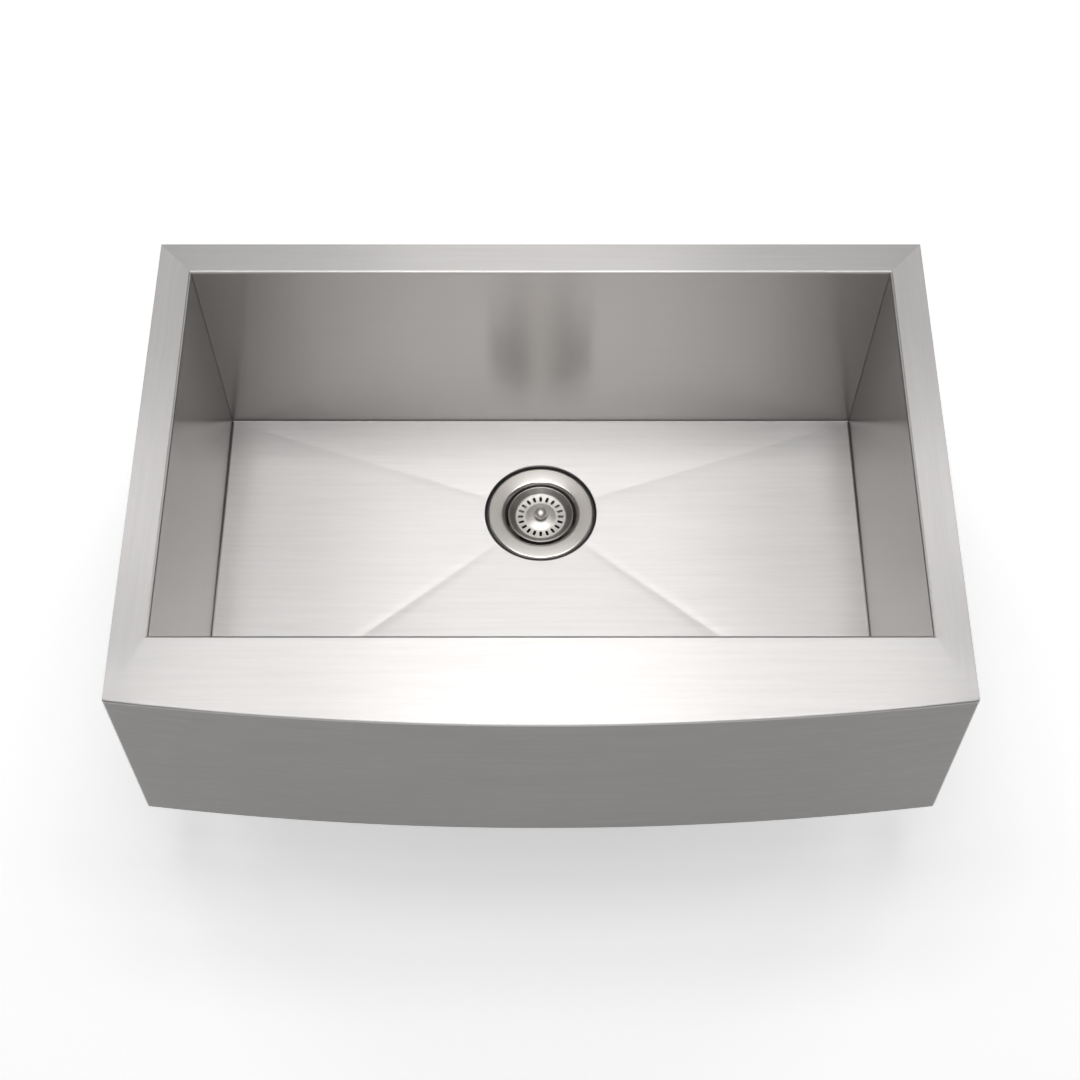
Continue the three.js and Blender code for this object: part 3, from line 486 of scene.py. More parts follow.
bends = [math.pi / 2 * i / BEND_STEPS for i in range(BEND_STEPS + 1)]
near_foot = [0, 0.006, 0.02, 0.045, 0.09, 0.16, 0.25, 0.35]
floor = [floor_ring(s) for s in [*near_foot, 0.46, 0.57, 0.68, 0.78, 0.87, 0.94, 1]]
lip = floor[-1]
seat_z = -BOWL_DEPTH - FLOOR_FALL - RECESS_DEPTH
seat_corner = ((DRAIN_HOLE, 0), (RECESS - 1.6, 0), (RECESS - 1.1, 0.15), (RECESS - 0.9, 0.5))
lip_corner = ((RECESS - 0.05, 0.9), (RECESS + 0.1, 0.35), (RECESS + 0.4, 0.08))
recess = [recess_ring(radius, [seat_z + rise] * len(rays)) for radius, rise in seat_corner]
recess += [recess_ring(radius, [p[2] - drop for p in lip]) for radius, drop in lip_corner]
rings = recess + floor[::-1]
for a in bends[1:]:
    z = -BOWL_DEPTH + FLOOR_BEND * (1 - math.cos(a))
    corner = FOOT_CORNER + (CORNER - FOOT_CORNER) * math.sin(a)
    rings.append(bowl_ring(z, -FLOOR_BEND * (1 - math.sin(a)), corner))
for a in bends:
    z = -BEND * (1 - math.sin(a))
    rings.append(bowl_ring(z, BEND * (1 - math.cos(a)), CORNER * math.cos(a)))
print("the floor falls from", -BOWL_DEPTH, "to", round(min(p[2] for p in lip), 2))

# %% [markdown]
# The side and back rims are flat. Their corners are mitred, welded and ground flush, so the
# brushing changes direction there without any step. The front deck belongs to the apron's sheet.

# %% The bowl with its rims
BOW, APRON_CORNER = 23, 3
BOW_RADIUS = (OUTER_X**2 + BOW**2) / (2 * BOW)
BOW_CENTRE = CORNER_Y - BOW + BOW_RADIUS


def front_at(x, inset=0.0):
    return BOW_CENTRE - math.sqrt((BOW_RADIUS - inset) ** 2 - x * x)


FOLD_X = OUTER_X - APRON_CORNER
FOLD_Y = front_at(FOLD_X, APRON_CORNER)
MITRE_Y = FOLD_Y + BEND

shown = [across, fore_and_aft, shaded_folds, back_wall, side_walls, front, shaded_back_rim]
ACROSS, FORE_AND_AFT, FOLD, BACK_WALL, SIDE_WALL, FRONT, BACK_RIM = range(len(shown))


def make_sheet(name, points, faces, solid, patches):
    """A folded sheet, with its thickness and its mill finish behind the face that shows."""
    piece = make_piece(
        name, points, faces, shown + [mill] * len(shown), "brushed_steel", solid,
        patches=patches, closed=False,
    )
    sheet = piece.modifiers.new("sheet", "SOLIDIFY")
    sheet.thickness, sheet.offset = SHEET * MM, -1
    sheet.use_even_offset = True
    sheet.material_offset = len(shown)
    flat = piece.modifiers.new("flat faces stay flat", "WEIGHTED_NORMAL")
    flat.keep_sharp = True

points, faces = sum(rings, []), skin(0, rings, inward=True)
size = len(rings[0])
per_side = CORNER_STEPS + SIDE_STEPS
floor_end = len(recess) + len(floor) - 1
wall_start = floor_end + BEND_STEPS
patches = []
for number in range(len(faces)):
    level, along = divmod(number, size)
    side, step = divmod(along, per_side)
    if level < floor_end:
        # The recess round the drain takes the fold finish, whose darker colour is painted shade
        # round the flange.
        patches.append(FOLD if 0 < level < len(recess) else ACROSS)
    elif level > wall_start and side == 1 and step >= CORNER_STEPS:
        patches.append(ACROSS)
    elif level != wall_start or step < CORNER_STEPS:
        patches.append(FOLD)
    else:
        patches.append(SIDE_WALL if side in (0, 2) else BACK_WALL)
top = len(points) - size
corners_out = [(OUTER_X, MITRE_Y), (OUTER_X, BACK_Y), (-OUTER_X, BACK_Y), (-OUTER_X, MITRE_Y)]
for k in range(3):
    (x0, y0), (x1, y1) = corners_out[k], corners_out[k + 1]
    inner = [top + (k * per_side + CORNER_STEPS + i) for i in range(SIDE_STEPS + 1)]
    inner[-1] = top + ((k + 1) * per_side) % size
    outer = len(points)
    for share in [i / SIDE_STEPS for i in range(len(inner))]:
        points.append((x0 + (x1 - x0) * share, y0 + (y1 - y0) * share, 0))
    faces += [(inner[i], outer + i, outer + i + 1, inner[i + 1]) for i in range(SIDE_STEPS)]
    patches += [BACK_RIM if k == 1 else FORE_AND_AFT] * SIDE_STEPS
make_sheet("bowl", points, faces, "bowl_shell", patches)

# %% [markdown]
# ## The apron
#
# The front deck runs over a soft fold into the bowed front, which folds back again into a hem along
# its lower edge. The bow is a shallow arc: 23 mm over the width of the sink. The sheet also folds
# round two upright corners into short side returns.

# %% The deck, the bowed front and its hem
APRON_HEIGHT, HEM = 228.6, 28
BOW_STEPS, FOLD_STEPS = 96, 8
SIDEWAYS, FORWARDS = 0.7, 0.95  # how squarely a face looks to the side or to the front


def apron_ring(z, set_back, back_y):
    """One level of the apron, from its left end round the front to its right end."""
    lean = math.degrees(math.atan2(BOW_CENTRE - FOLD_Y, FOLD_X))
    bow = arc(0, BOW_CENTRE, BOW_RADIUS, 180 + lean, 360 - lean, BOW_STEPS)[1:-1]
    left = arc(-FOLD_X, FOLD_Y, APRON_CORNER, 180, 180 + lean, FOLD_STEPS)
    right = arc(FOLD_X, FOLD_Y, APRON_CORNER, 360 - lean, 360, FOLD_STEPS)
    front = [(x, y + set_back) for x, y in left + bow + right]
    return [(x, y, z) for x, y in [(-OUTER_X, back_y)] + front + [(OUTER_X, back_y)]]


def turn(angle):
    """The height and the set-back of a point on the fold at the deck."""
    return -BEND * (1 - math.sin(angle)), BEND * (1 - math.cos(angle))

rim_angle = math.asin(1 - SHEET / BEND)
upper = sorted([*bends, rim_angle])
low = -APRON_HEIGHT
lower = [(low + BEND * (1 - math.cos(a)), BEND * (1 - math.sin(a))) for a in bends]
body = [apron_ring(z, s, SEAM_Y) for z, s in lower + [turn(a) for a in upper if a <= rim_angle]]
fold = [apron_ring(*turn(a), MITRE_Y) for a in upper if a >= rim_angle]
points, faces = sum(body, []), skin(0, body, wrap=False)
faces += skin(len(points), fold, wrap=False)
points += sum(fold, [])
size = len(body[0])
edge, first = fold[-1], len(points)
lip_x = HALF_WIDTH + BEND
points += [(x * lip_x / OUTER_X, SEAM_Y, 0) for x, _, _ in edge]
hem_x = [x * (OUTER_X - HEM) / OUTER_X for x, _, _ in body[0]]
hem_y = [SEAM_Y, *[front_at(x, HEM) for x in hem_x[1:-1]], SEAM_Y]
points += [(x, y, low) for x, y in zip(hem_x, hem_y)]
for i in range(size - 1):
    top = first - size + i
    faces.append((top, top + 1, first + i + 1, first + i))
    faces.append((i + 1, i, first + size + i, first + size + i + 1))
patches = []
for face in faces:
    a, b, c = (Vector(points[i]) for i in face[:3])
    normal = (b - a).cross(c - a).normalized()
    if abs(normal.x) > SIDEWAYS:
        patches.append(FORE_AND_AFT)
    else:
        # Faces that look to the front take the darker front finish: painted shade.
        patches.append(FRONT if abs(normal.y) > FORWARDS else ACROSS)
make_sheet("apron", points, faces, "apron_panel", patches)

# %% [markdown]
# ## Brackets and sound pads
#
# Two folded strips tie the apron's hem to the bowl, so that the apron doesn't drum. They are cut
# from strip steel, and their sheared edges are broken with a file, which a narrow bevel stands for.
# A bevel matters more than it looks: without one, no edge ever catches the light.

# %% Folded brackets
GAP = 0.3
BEHIND = SHEET + GAP
BRACKET_X, BRACKET_WIDTH = 210, 40
HEM_LAP, BRACKET_SHEET, BRACKET_RADIUS, BRACKET_UPRIGHT = 18, 2, 4, 38
BRACKET_FOOT = -APRON_HEIGHT + BEHIND


def soften(piece, width, angle=30):
    """Breaks the sharp edges of a piece."""
    bevel = piece.modifiers.new("broken edges", "BEVEL")
    bevel.width, bevel.segments = width * MM, 2
    bevel.limit_method, bevel.angle_limit = "ANGLE", math.radians(angle)
    bevel.harden_normals = True


def side_profile(outline, x, width):
    """A (y, z) outline pulled along X."""
    count = len(outline)
    points = [(x + s * width / 2, y, z) for s in (-1, 1) for y, z in outline]
    faces = [tuple(range(count))[::-1], tuple(range(count, 2 * count))]
    faces += [(i, (i + 1) % count, count + (i + 1) % count, count + i) for i in range(count)]
    return points, faces


def bracket_outline(x):
    bottom, tip = BRACKET_FOOT, BRACKET_FOOT + BRACKET_UPRIGHT
    top, outer, inner = bottom + BRACKET_SHEET, BRACKET_RADIUS, BRACKET_RADIUS - BRACKET_SHEET
    at_bottom, at_top, at_tip = (walls_at(z, BEHIND)[1] for z in (bottom, top, tip))
    hem_end = front_at(x, HEM) - HEM_LAP
    return [
        (hem_end, bottom),
        *arc(at_bottom - outer, bottom + outer, outer, 270, 360, FOLD_STEPS),
        (at_tip, tip),
        (at_tip - BRACKET_SHEET, tip),
        *arc(at_top - BRACKET_SHEET - inner, top + inner, inner, 360, 270, FOLD_STEPS),
        (hem_end, top),
    ]


for side, x in (("left", -BRACKET_X), ("right", BRACKET_X)):
    profile = side_profile(bracket_outline(x), x, BRACKET_WIDTH)
    bracket = make_piece(f"bracket_{side}", *profile, [mill], "mill_steel", f"apron_bracket_{side}")
    soften(bracket, 0.3)

# %% [markdown]
# The pads are sheets of bitumen rubber, stuck under the floor's facets, on the walls and inside the
# apron. They stop the steel from ringing under the tap. They are die cut, so their corners are
# round, and their skin has a fine pebble.

# %% Pebbled rubber
def rubber(name, tone, pebble_mm, scale):
    black = Finish(name, specular_ior_level=0.4)
    pebble = black.noise(scale, 3.0)
    dust = black.noise(18, 4.0, roughness=0.65).step(0.35, 0.75)
    clean = (tone, tone, tone * 1.05, 1)
    black.feed(base_color=black.blend(dust, clean, grey(tone * 2)), roughness=0.72 + pebble * 0.2)
    black.bump(pebble, pebble_mm)
    return black.material


pad_rubber = rubber("bitumen_rubber", 0.02, 0.25, 420)
seal_rubber = rubber("moulded_rubber", 0.055, 0.04, 900)

# %% Die cut pads
PAD, PAD_CORNER, PAD_ROUND = 3, 9, 0.6
PAD_EDGE, CREASE_SHARE, DRAIN_CLEARANCE = 22, 0.12, 74
WALL_PAD_END, WALL_PAD_LOW, WALL_PAD_HIGH = 70, -185, -55
APRON_PAD_HALF, APRON_PAD_RISE = 260, 65


def rounded(corners, radius, steps=5):
    """An outline with its corners rounded."""
    points = []
    for i, corner in enumerate(corners):
        corner = Vector(corner)
        beside = Vector(corners[i - 1]), Vector(corners[(i + 1) % len(corners)])
        start, end = (corner + (spot - corner).normalized() * radius for spot in beside)
        for t in [s / steps for s in range(steps + 1)]:
            points.append(start * (1 - t) ** 2 + corner * 2 * t * (1 - t) + end * t * t)
    return points


def make_pad(name, corners, place, cuts=0):
    """A pad over a (u, v) outline. place puts (u, v, depth) on the sheet that the pad sticks to."""
    edge = rounded(corners, PAD_CORNER)
    count = len(edge)
    work = bmesh.new()
    layers = []
    bevel = 0.3 * PAD_ROUND
    for inset, depth in ((0, 0), (0, PAD - PAD_ROUND), (bevel, PAD - bevel), (PAD_ROUND, PAD)):
        ring = []
        for i, spot in enumerate(edge):
            along = (edge[(i + 1) % count] - edge[i - 1]).normalized()
            ring.append(work.verts.new((spot.x - along.y * inset, spot.y + along.x * inset, depth)))
        layers.append(ring)
    for low, high in zip(layers, layers[1:]):
        for i in range(count):
            j = (i + 1) % count
            work.faces.new((low[i], low[j], high[j], high[i]))
    work.faces.new(layers[0][::-1])
    work.faces.new(layers[-1])
    start, end = corners[0][0], corners[1][0]
    for i in range(1, cuts):
        where = start + (end - start) * i / cuts
        everything = work.verts[:] + work.edges[:] + work.faces[:]
        bmesh.ops.bisect_plane(work, geom=everything, plane_co=(where, 0, 0), plane_no=(1, 0, 0))
    work.verts.index_update()
    points = [tuple(place(*v.co)) for v in work.verts]
    faces = [tuple(v.index for v in f.verts) for f in work.faces]
    work.free()
    make_piece(name, points, faces, [pad_rubber], "pad_rubber")


def facet_pad(name, first, last):
    """The pad under the floor between two corners of its foot."""
    first, last = Vector((*first, -BOWL_DEPTH)), Vector((*last, -BOWL_DEPTH))
    drain = Vector((0, DRAIN_Y, -BOWL_DEPTH - FLOOR_FALL))
    right = (last - first).normalized()
    reach = ((drain - first) - right * (drain - first).dot(right)).to_2d().length
    spots = []
    for along, inward in ((0, 0), (1, 0), (1, 1), (0, 1)):
        share = CREASE_SHARE + along * (1 - 2 * CREASE_SHARE)
        depth = 1 - DRAIN_CLEARANCE / reach if inward else PAD_EDGE / reach
        spots.append(first.lerp(last, share).lerp(drain, depth))
    inwards = (spots[3] - spots[0]) - right * (spots[3] - spots[0]).dot(right)
    inwards.normalize()
    corners = [((p - spots[0]).dot(right), (p - spots[0]).dot(inwards)) for p in spots]
    down = Vector((0, 0, -1))
    make_pad(
        name, corners, lambda u, v, d: spots[0] + right * u + inwards * v + down * (BEHIND + d)
    )


foot_corners = [
    (-foot_side, foot_front), (foot_side, foot_front),
    (foot_side, foot_back), (-foot_side, foot_back),
]
for i, side in enumerate(("front", "right", "back", "left")):
    facet_pad(f"floor_pad_{side}", foot_corners[i], foot_corners[(i + 1) % 4])


def plate(half, low, high):
    return [(-half, low), (half, low), (half, high), (-half, high)]


wall_places = {
    "left": (HALF_LENGTH, lambda u, v, d: (-walls_at(v, BEHIND + d)[0], u, v)),
    "right": (HALF_LENGTH, lambda u, v, d: (walls_at(v, BEHIND + d)[0], u, v)),
    "front": (HALF_WIDTH, lambda u, v, d: (u, walls_at(v, BEHIND + d)[1], v)),
    "back": (HALF_WIDTH, lambda u, v, d: (u, walls_at(v, BEHIND + d)[2], v)),
}
for side, (half, place) in wall_places.items():
    make_pad(f"wall_pad_{side}", plate(half - WALL_PAD_END, WALL_PAD_LOW, WALL_PAD_HIGH), place)
middle = -APRON_HEIGHT / 2
apron_plate = plate(APRON_PAD_HALF, middle - APRON_PAD_RISE, middle + APRON_PAD_RISE)
make_pad("apron_pad", apron_plate, lambda u, v, d: (u, front_at(u, BEHIND + d), v), cuts=40)

# %% [markdown]
# ## Turned pieces
#
# Most of the drain is round, so most of it is an outline turned about one axis. Lugs, ribs, flats
# and threads are round too, apart from a radius that changes with the angle. One function that may
# bend the radius therefore makes all of them, and a screw thread is real relief: a groove whose
# phase climbs by one pitch in a turn.

# %% Turning an outline about the drain's axis
def turned(outline, facets=144, shape=None, angles=None):
    """The points and faces. The last ring joins the first, unless the outline ends on the axis."""
    angles = angles or [2 * math.pi * i / facets for i in range(facets)]
    closed = outline[0][0] > 0 or outline[-1][0] > 0
    rings = []
    for radius, height in outline:
        reach = [(a, shape(a, radius, height) if shape else radius) for a in angles]
        rings.append([(r * math.cos(a), DRAIN_Y + r * math.sin(a), height) for a, r in reach])
    points = sum(rings, [])
    faces = skin(0, rings + rings[:1] if closed else rings)
    return points, [tuple(i % len(points) for i in face) for face in faces]


def make_turned(name, outline, finish, slot, facets=144, shape=None, angles=None, **options):
    make_piece(name, *turned(outline, facets, shape, angles), [finish], slot, **options)


def off_nearest(angle, count):
    """How far an angle is from the nearest of some even steps round the circle."""
    step = 2 * math.pi / count
    return (angle + step / 2) % step - step / 2


def screw_thread(crest, low, high, pitch, depth):
    """A groove that climbs round the wall of a given radius."""

    def shape(angle, radius, height):
        if abs(radius - crest) > 0.01 or not low < height < high:
            return radius
        phase = (height / pitch - angle / (2 * math.pi)) % 1
        fade = min(1.0, (height - low) / pitch, (high - height) / pitch)
        return radius - depth * fade * max(0.0, 1.25 * abs(2 * phase - 1) - 0.25)

    return shape


def thread_rows(crest, low, high, pitch, per_turn=7):
    count = round((high - low) / pitch * per_turn)
    return [(crest, low + (high - low) * i / count) for i in range(count + 1)]


# %% [markdown]
# The strainer is spun and polished in a lathe, so its scratches are circles. With no tangent given,
# the shader already takes the direction round the piece. The polishing stops at the throat: the
# inside of the cup and the slope of the dish keep the duller skin of the drawn sheet, and their
# darker grey is painted shade in the throat's recess. The castings under the sink are zinc, dull
# and a little grainy.

# %% Finishes of the drain
LINES = 900


def turned_steel(name, tone=0.78, gloss=0.24, grain=0.75):
    steel = Finish(name, metallic=1.0, anisotropic=grain, anisotropic_rotation=0.25)
    x, y, z = steel.parts()
    y = y - DRAIN_Y * MM
    radius = (x * x + y * y) ** 0.5
    lines = steel.noise(1.0, 3.0, spot=steel.node("CombineXYZ", X=radius * LINES, Y=z * LINES))
    clouds = steel.noise(60)
    dull, bright = Vector((0.945, 0.912, 0.87)) * tone, Vector((1.075, 1.04, 0.99)) * tone
    colour = steel.blend(lines * 0.6 + clouds * 0.4, (*dull, 1), (*bright, 1))
    steel.feed(base_color=colour, roughness=gloss - 0.04 + lines * 0.08)
    steel.bump(lines, 0.004)
    return steel.material


satin = turned_steel("turned_steel")
soft_satin = turned_steel("pressed_steel", tone=0.8, gloss=0.42, grain=0.3)
# The drawn finish's darker tone is painted shade for the recess of the throat.
shaded_drawn = turned_steel("drawn_steel_painted_shade", tone=0.5, gloss=0.36)
zinc_tones = (0.34, 0.35, 0.36, 1), (0.47, 0.48, 0.49, 1)
zinc = grained("cast_zinc", *zinc_tones, 0.4, (700, 3.0), 0.08, (45, 3.0), 0.12, 0.03, metallic=1.0)
fibre_tones = (0.2, 0.13, 0.07, 1), (0.36, 0.25, 0.14, 1)
pressed_fibre = grained("pressed_fibre", *fibre_tones, 0.85, (600, 3.0), 0.1, depth_mm=0.05)
nylon_tones = (0.66, 0.65, 0.6, 1), (0.74, 0.73, 0.68, 1)
waxy = {"subsurface_weight": 0.15, "subsurface_radius": (0.002, 0.002, 0.0018)}
nylon = grained("nylon", *nylon_tones, 0.38, (150, 3.0), 0.1, depth_mm=0.01, **waxy)

# %% Levels of the strainer
FLANGE, FLANGE_ROLL, FLANGE_DISH = 57.15, 2.4, 1.1
THROAT, SHOULDER, CUP_WALL, CUP_CORNER, CUP_DEPTH = 37.5, 5, 1.5, 5, 35
OUTLET, SPIGOT_WALL, SPIGOT_LENGTH = 19.5, 3.5, 34
SEAL, GASKET, FRICTION, WASHER, RING = 0.8, 3.2, 1.5, 3, 52
LOCKNUT_HEIGHT, COUPLING_HEIGHT, COUPLING_DROP = 12, 20, 6.9
seal_low = seat_z + GAP
flange_foot = seal_low + SEAL + GAP
flange_top = flange_foot + FLANGE_ROLL
cup_floor = flange_top - CUP_DEPTH
cup_under = cup_floor - 1.5 - CUP_WALL
cup_radius = THROAT + CUP_WALL
gasket_top = seat_z - BEHIND
friction_top = gasket_top - GASKET - GAP
locknut_top = friction_top - FRICTION - GAP
locknut_low = locknut_top - LOCKNUT_HEIGHT
spigot_top = cup_under - GAP
spigot_end = spigot_top - SPIGOT_LENGTH
spigot_radius = OUTLET + SPIGOT_WALL
washer_top = spigot_end - GAP
coupling_low = spigot_end - COUPLING_DROP
coupling_top = coupling_low + COUPLING_HEIGHT
print("the drain reaches down to", round(coupling_low, 2))

# %% The strainer cup, its seal and its gaskets
cup_thread = (cup_radius, cup_floor + CUP_CORNER + 0.4, locknut_low + 6, 1.8)
DRAWN_BELOW = flange_top - 2.6
shoulder_x, shoulder_z = THROAT + SHOULDER, flange_top - FLANGE_DISH - SHOULDER
floor_x = THROAT - CUP_CORNER
cup_outline = [
    *arc(FLANGE - FLANGE_ROLL, flange_foot, FLANGE_ROLL, 0, 90, 10),
    *arc(shoulder_x, shoulder_z, SHOULDER, 90, 180, 12),
    *arc(floor_x, cup_floor + CUP_CORNER, CUP_CORNER, 0, -90, 8),
    (OUTLET + 1.4, cup_floor - 1.45), (OUTLET + 1, cup_floor - 1.8), (OUTLET + 1, cup_under),
    *arc(floor_x, cup_floor + CUP_CORNER, CUP_CORNER + CUP_WALL, -90, 0, 8),
    *thread_rows(*cup_thread),
    *arc(shoulder_x, shoulder_z, SHOULDER - CUP_WALL, 180, 90, 8),
    (FLANGE - FLANGE_ROLL, flange_top - CUP_WALL), (FLANGE - CUP_WALL, flange_foot),
]
points, faces = turned(cup_outline, 180, screw_thread(*cup_thread, 0.7))
# Faces low in the cup take the drawn finish, darker as painted shade.
inside = [int(max(points[i][2] for i in face) < DRAWN_BELOW) for face in faces]
make_piece("strainer_cup", points, faces, [satin, shaded_drawn], "strainer_steel", patches=inside)


def make_washer(name, inner, outer, top, thick, finish, slot, edge):
    low = top - thick
    outline = [
        (inner + edge, low), (outer - edge, low), (outer, low + edge), (outer, top - edge),
        (outer - edge, top), (inner + edge, top), (inner, top - edge), (inner, low + edge),
    ]
    make_turned(name, outline, finish, slot)


bore, seal_top = cup_radius + GAP, seal_low + SEAL
black = seal_rubber, "seal_rubber"
make_washer("flange_seal", DRAIN_HOLE + 1, FLANGE + 1.1, seal_top, SEAL, *black, 0.2)
make_washer("sink_gasket", bore, RING, gasket_top, GASKET, *black, 0.6)
make_washer("friction_ring", bore, RING, friction_top, FRICTION, pressed_fibre, "fibre", 0.3)
inside_nut = spigot_radius - GAP
make_washer("tailpiece_washer", OUTLET, inside_nut, washer_top, WASHER, nylon, "white_plastic", 0.5)

# %% The locknut and its lugs
NUT_BODY, NUT_RIM = 48, 50.8
LUG_RISE, LUG_FOOT, LUG_SLOPE = 6, 7.2, 3.4


def lugs(angle, radius, height):
    """Eight lugs with sloping sides, as wide as a spanner's jaw."""
    if radius < NUT_BODY - 1.3 or height > locknut_top - 3.5:
        return radius
    off = abs(off_nearest(angle, 8)) * NUT_BODY
    share = min(1.0, max(0.0, (LUG_FOOT - off) / LUG_SLOPE))
    return radius + LUG_RISE * share * share * (3 - 2 * share)


body, rim, low, top = NUT_BODY, NUT_RIM, locknut_low, locknut_top
locknut_outline = [
    (bore + 0.6, low), (body - 1.2, low), (body - 0.35, low + 0.35), (body, low + 1.2),
    (body, top - 4.4), (body - 0.25, top - 3.8), (body - 1, top - 3.55), (body - 1, top - 3.45),
    (body - 0.4, top - 2.2), (rim - 0.5, top - 1.3), (rim, top - 0.9), (rim, top - 0.3),
    (rim - 0.3, top), (bore + 0.6, top), (bore, top - 0.6), (bore, low + 0.6),
]
make_turned("locknut", locknut_outline, zinc, "cast_zinc", 320, lugs, sharp=50)

# %% The outlet with its spider
HUB, HUB_BORE, ARM, ARM_HEIGHT = 8, 4.6, 3, 4
SPIGOT_FLANGE = 30
arm_reach = OUTLET + SPIGOT_WALL / 2


def spider(angle, radius, height):
    """Four arms from a hub: the outline of a cross with a round middle."""
    if radius < HUB:
        return radius
    off = off_nearest(angle, 4)
    along = ARM / 2 / max(abs(math.sin(off)), 1e-6)
    return max(HUB, min(arm_reach / math.cos(off), along))


def spider_angles():
    """Angles with a point on each corner of the arms."""
    tip, root = math.atan2(ARM / 2, arm_reach), math.asin(ARM / 2 / HUB)
    offs = [-tip, 0, tip, (tip * 2 + root) / 3, (tip + root * 2) / 3, root]
    offs += [root + (math.pi / 2 - 2 * root) * i / 8 for i in range(1, 9)]
    offs += [math.pi / 2 - (tip + root * 2) / 3, math.pi / 2 - (tip * 2 + root) / 3]
    return sorted((k * math.pi / 2 + o) % (2 * math.pi) for k in range(4) for o in offs)


spigot_thread = (spigot_radius, spigot_end + 0.6, spigot_end + 15, 2.1)
wall, rim, low, top = spigot_radius, SPIGOT_FLANGE, spigot_end, spigot_top
spigot_outline = [
    (OUTLET + 0.5, low), (wall - 0.5, low), *thread_rows(*spigot_thread),
    (wall, top - 4.2), (wall + 0.3, top - 3), (wall + 1.2, top - 2.4),
    (rim - 0.4, top - 2.4), (rim, top - 2), (rim, top - 0.3), (rim - 0.3, top),
    (OUTLET + 0.5, top), (OUTLET, top - 0.5), (OUTLET, low + 0.5),
]
points, faces = turned(spigot_outline, 144, screw_thread(*spigot_thread, 0.8))
top = spigot_top - 7
low = top - ARM_HEIGHT
bars, bar_faces = turned(
    [(HUB_BORE, low), (HUB, low), (HUB, top), (HUB_BORE, top)], shape=spider, angles=spider_angles()
)
faces += [tuple(i + len(points) for i in face) for face in bar_faces]
make_piece("outlet_spigot", points + bars, faces, [zinc], "cast_zinc")

# %% The coupling nut and its ribs
nut_bore, nut_radius = spigot_radius + GAP, spigot_radius + GAP + 4.5
RIB = 2.2


def ribs(angle, radius, height):
    """Twelve round ribs for the fingers, fading out near the nut's ends."""
    if radius < nut_radius - 0.01:
        return radius
    off = off_nearest(angle, 12) * nut_radius
    from_end = min(height - coupling_low, coupling_top - height)
    fade = min(1.0, max(0.0, (from_end - 1.6) / 1.4))
    rise = math.sqrt(max(0.0, RIB**2 - off * off)) - RIB / 3
    return radius + max(0.0, rise) * math.sqrt(fade)


wall, low, top = nut_radius, coupling_low, coupling_top
coupling_outline = [
    (OUTLET + 0.3, low), (wall - 1.2, low), (wall - 0.35, low + 0.35),
    *[(wall, low + 1.2 + 17.6 * i / 24) for i in range(25)],
    (wall - 0.35, top - 0.35), (wall - 1.2, top), (nut_bore + 0.4, top), (nut_bore, top - 0.4),
    (nut_bore, low + 3), (OUTLET + 0.3, low + 3), (OUTLET, low + 2.7), (OUTLET, low + 0.3),
]
make_turned("coupling_nut", coupling_outline, zinc, "cast_zinc", 288, ribs, sharp=45)

# %% [markdown]
# ## The basket
#
# The dish is pressed from thin sheet with a curled rim, and a ring of slots is punched through its
# floor. The punch's corners are the only place where the outline isn't turned, so the slots are cut
# with one Boolean, and the cutter is thrown away once the mesh is made.

# %% The perforated dish
BASKET, RIM_CURL, DISH_SHEET, DISH_FLOOR, DOME, DOME_RISE = 35, 1, 0.8, 28, 16.5, 1.8
SLOTS, SLOT_CENTRE, SLOT_LENGTH, SLOT_WIDTH = 20, 21.8, 6.2, 2.7
STEM = 3
in_basket = {"slot": "strainer_steel", "body": "basket"}
dish_rim = flange_top - 2.4
dish_floor = dish_rim - 5.4
knob_foot = dish_floor + DOME_RISE + GAP


def dome_height(radius):
    return dish_floor + DOME_RISE * math.sin((DOME - radius) / (DOME - STEM - GAP) * math.pi / 2)


dome_radii = [DOME + (STEM + GAP - DOME) * i / 12 for i in range(13)]
upper = [
    *arc(BASKET - RIM_CURL, dish_rim - RIM_CURL, RIM_CURL, -60, 130, 14),
    (DISH_FLOOR + 1.5, dish_floor + 1.25), (DISH_FLOOR + DISH_SHEET, dish_floor + 0.68),
    (DISH_FLOOR, dish_floor + 0.22), (DISH_FLOOR - 1.2, dish_floor),
    (DOME + 0.8, dish_floor), *[(r, dome_height(r)) for r in dome_radii],
]
lower = [
    *[(r, dome_height(r) - DISH_SHEET) for r in dome_radii[::-1]],
    (DISH_FLOOR - DISH_SHEET / 2, dish_floor - DISH_SHEET),
    (DISH_FLOOR + 0.9, dish_floor - 0.45), (DISH_FLOOR + 2, dish_floor + 0.5),
]
dish_outline = upper + lower


def slot_cutter():
    """Upright bars with round ends, as one mesh."""
    points, faces = [], []
    half, radius = (SLOT_LENGTH - SLOT_WIDTH) / 2, SLOT_WIDTH / 2
    plan = arc(SLOT_CENTRE - half, 0, radius, 90, 270, 8)
    plan += arc(SLOT_CENTRE + half, 0, radius, -90, 90, 8)
    count = len(plan)
    for k in range(SLOTS):
        angle = 2 * math.pi * k / SLOTS
        c, s = math.cos(angle), math.sin(angle)
        across_slot = [(u * c - v * s, DRAIN_Y + u * s + v * c) for u, v in plan]
        levels = [[(x, y, dish_floor + z) for x, y in across_slot] for z in (-3, 3)]
        first = len(points)
        faces.append(tuple(range(first, first + count))[::-1])
        faces.append(tuple(range(first + count, first + 2 * count)))
        faces += skin(first, levels)
        points += levels[0] + levels[1]
    mesh = bpy.data.meshes.new("cutter")
    mesh.from_pydata([Vector(p) * MM for p in points], [], faces)
    return put_in_scene("cutter", mesh)

points, faces = turned(dish_outline, 180)
from_axis = [math.hypot(x, y - DRAIN_Y) for x, y, _ in points]
sloping = [DISH_FLOOR - 1.3 < radius < BASKET - 0.3 for radius in from_axis]
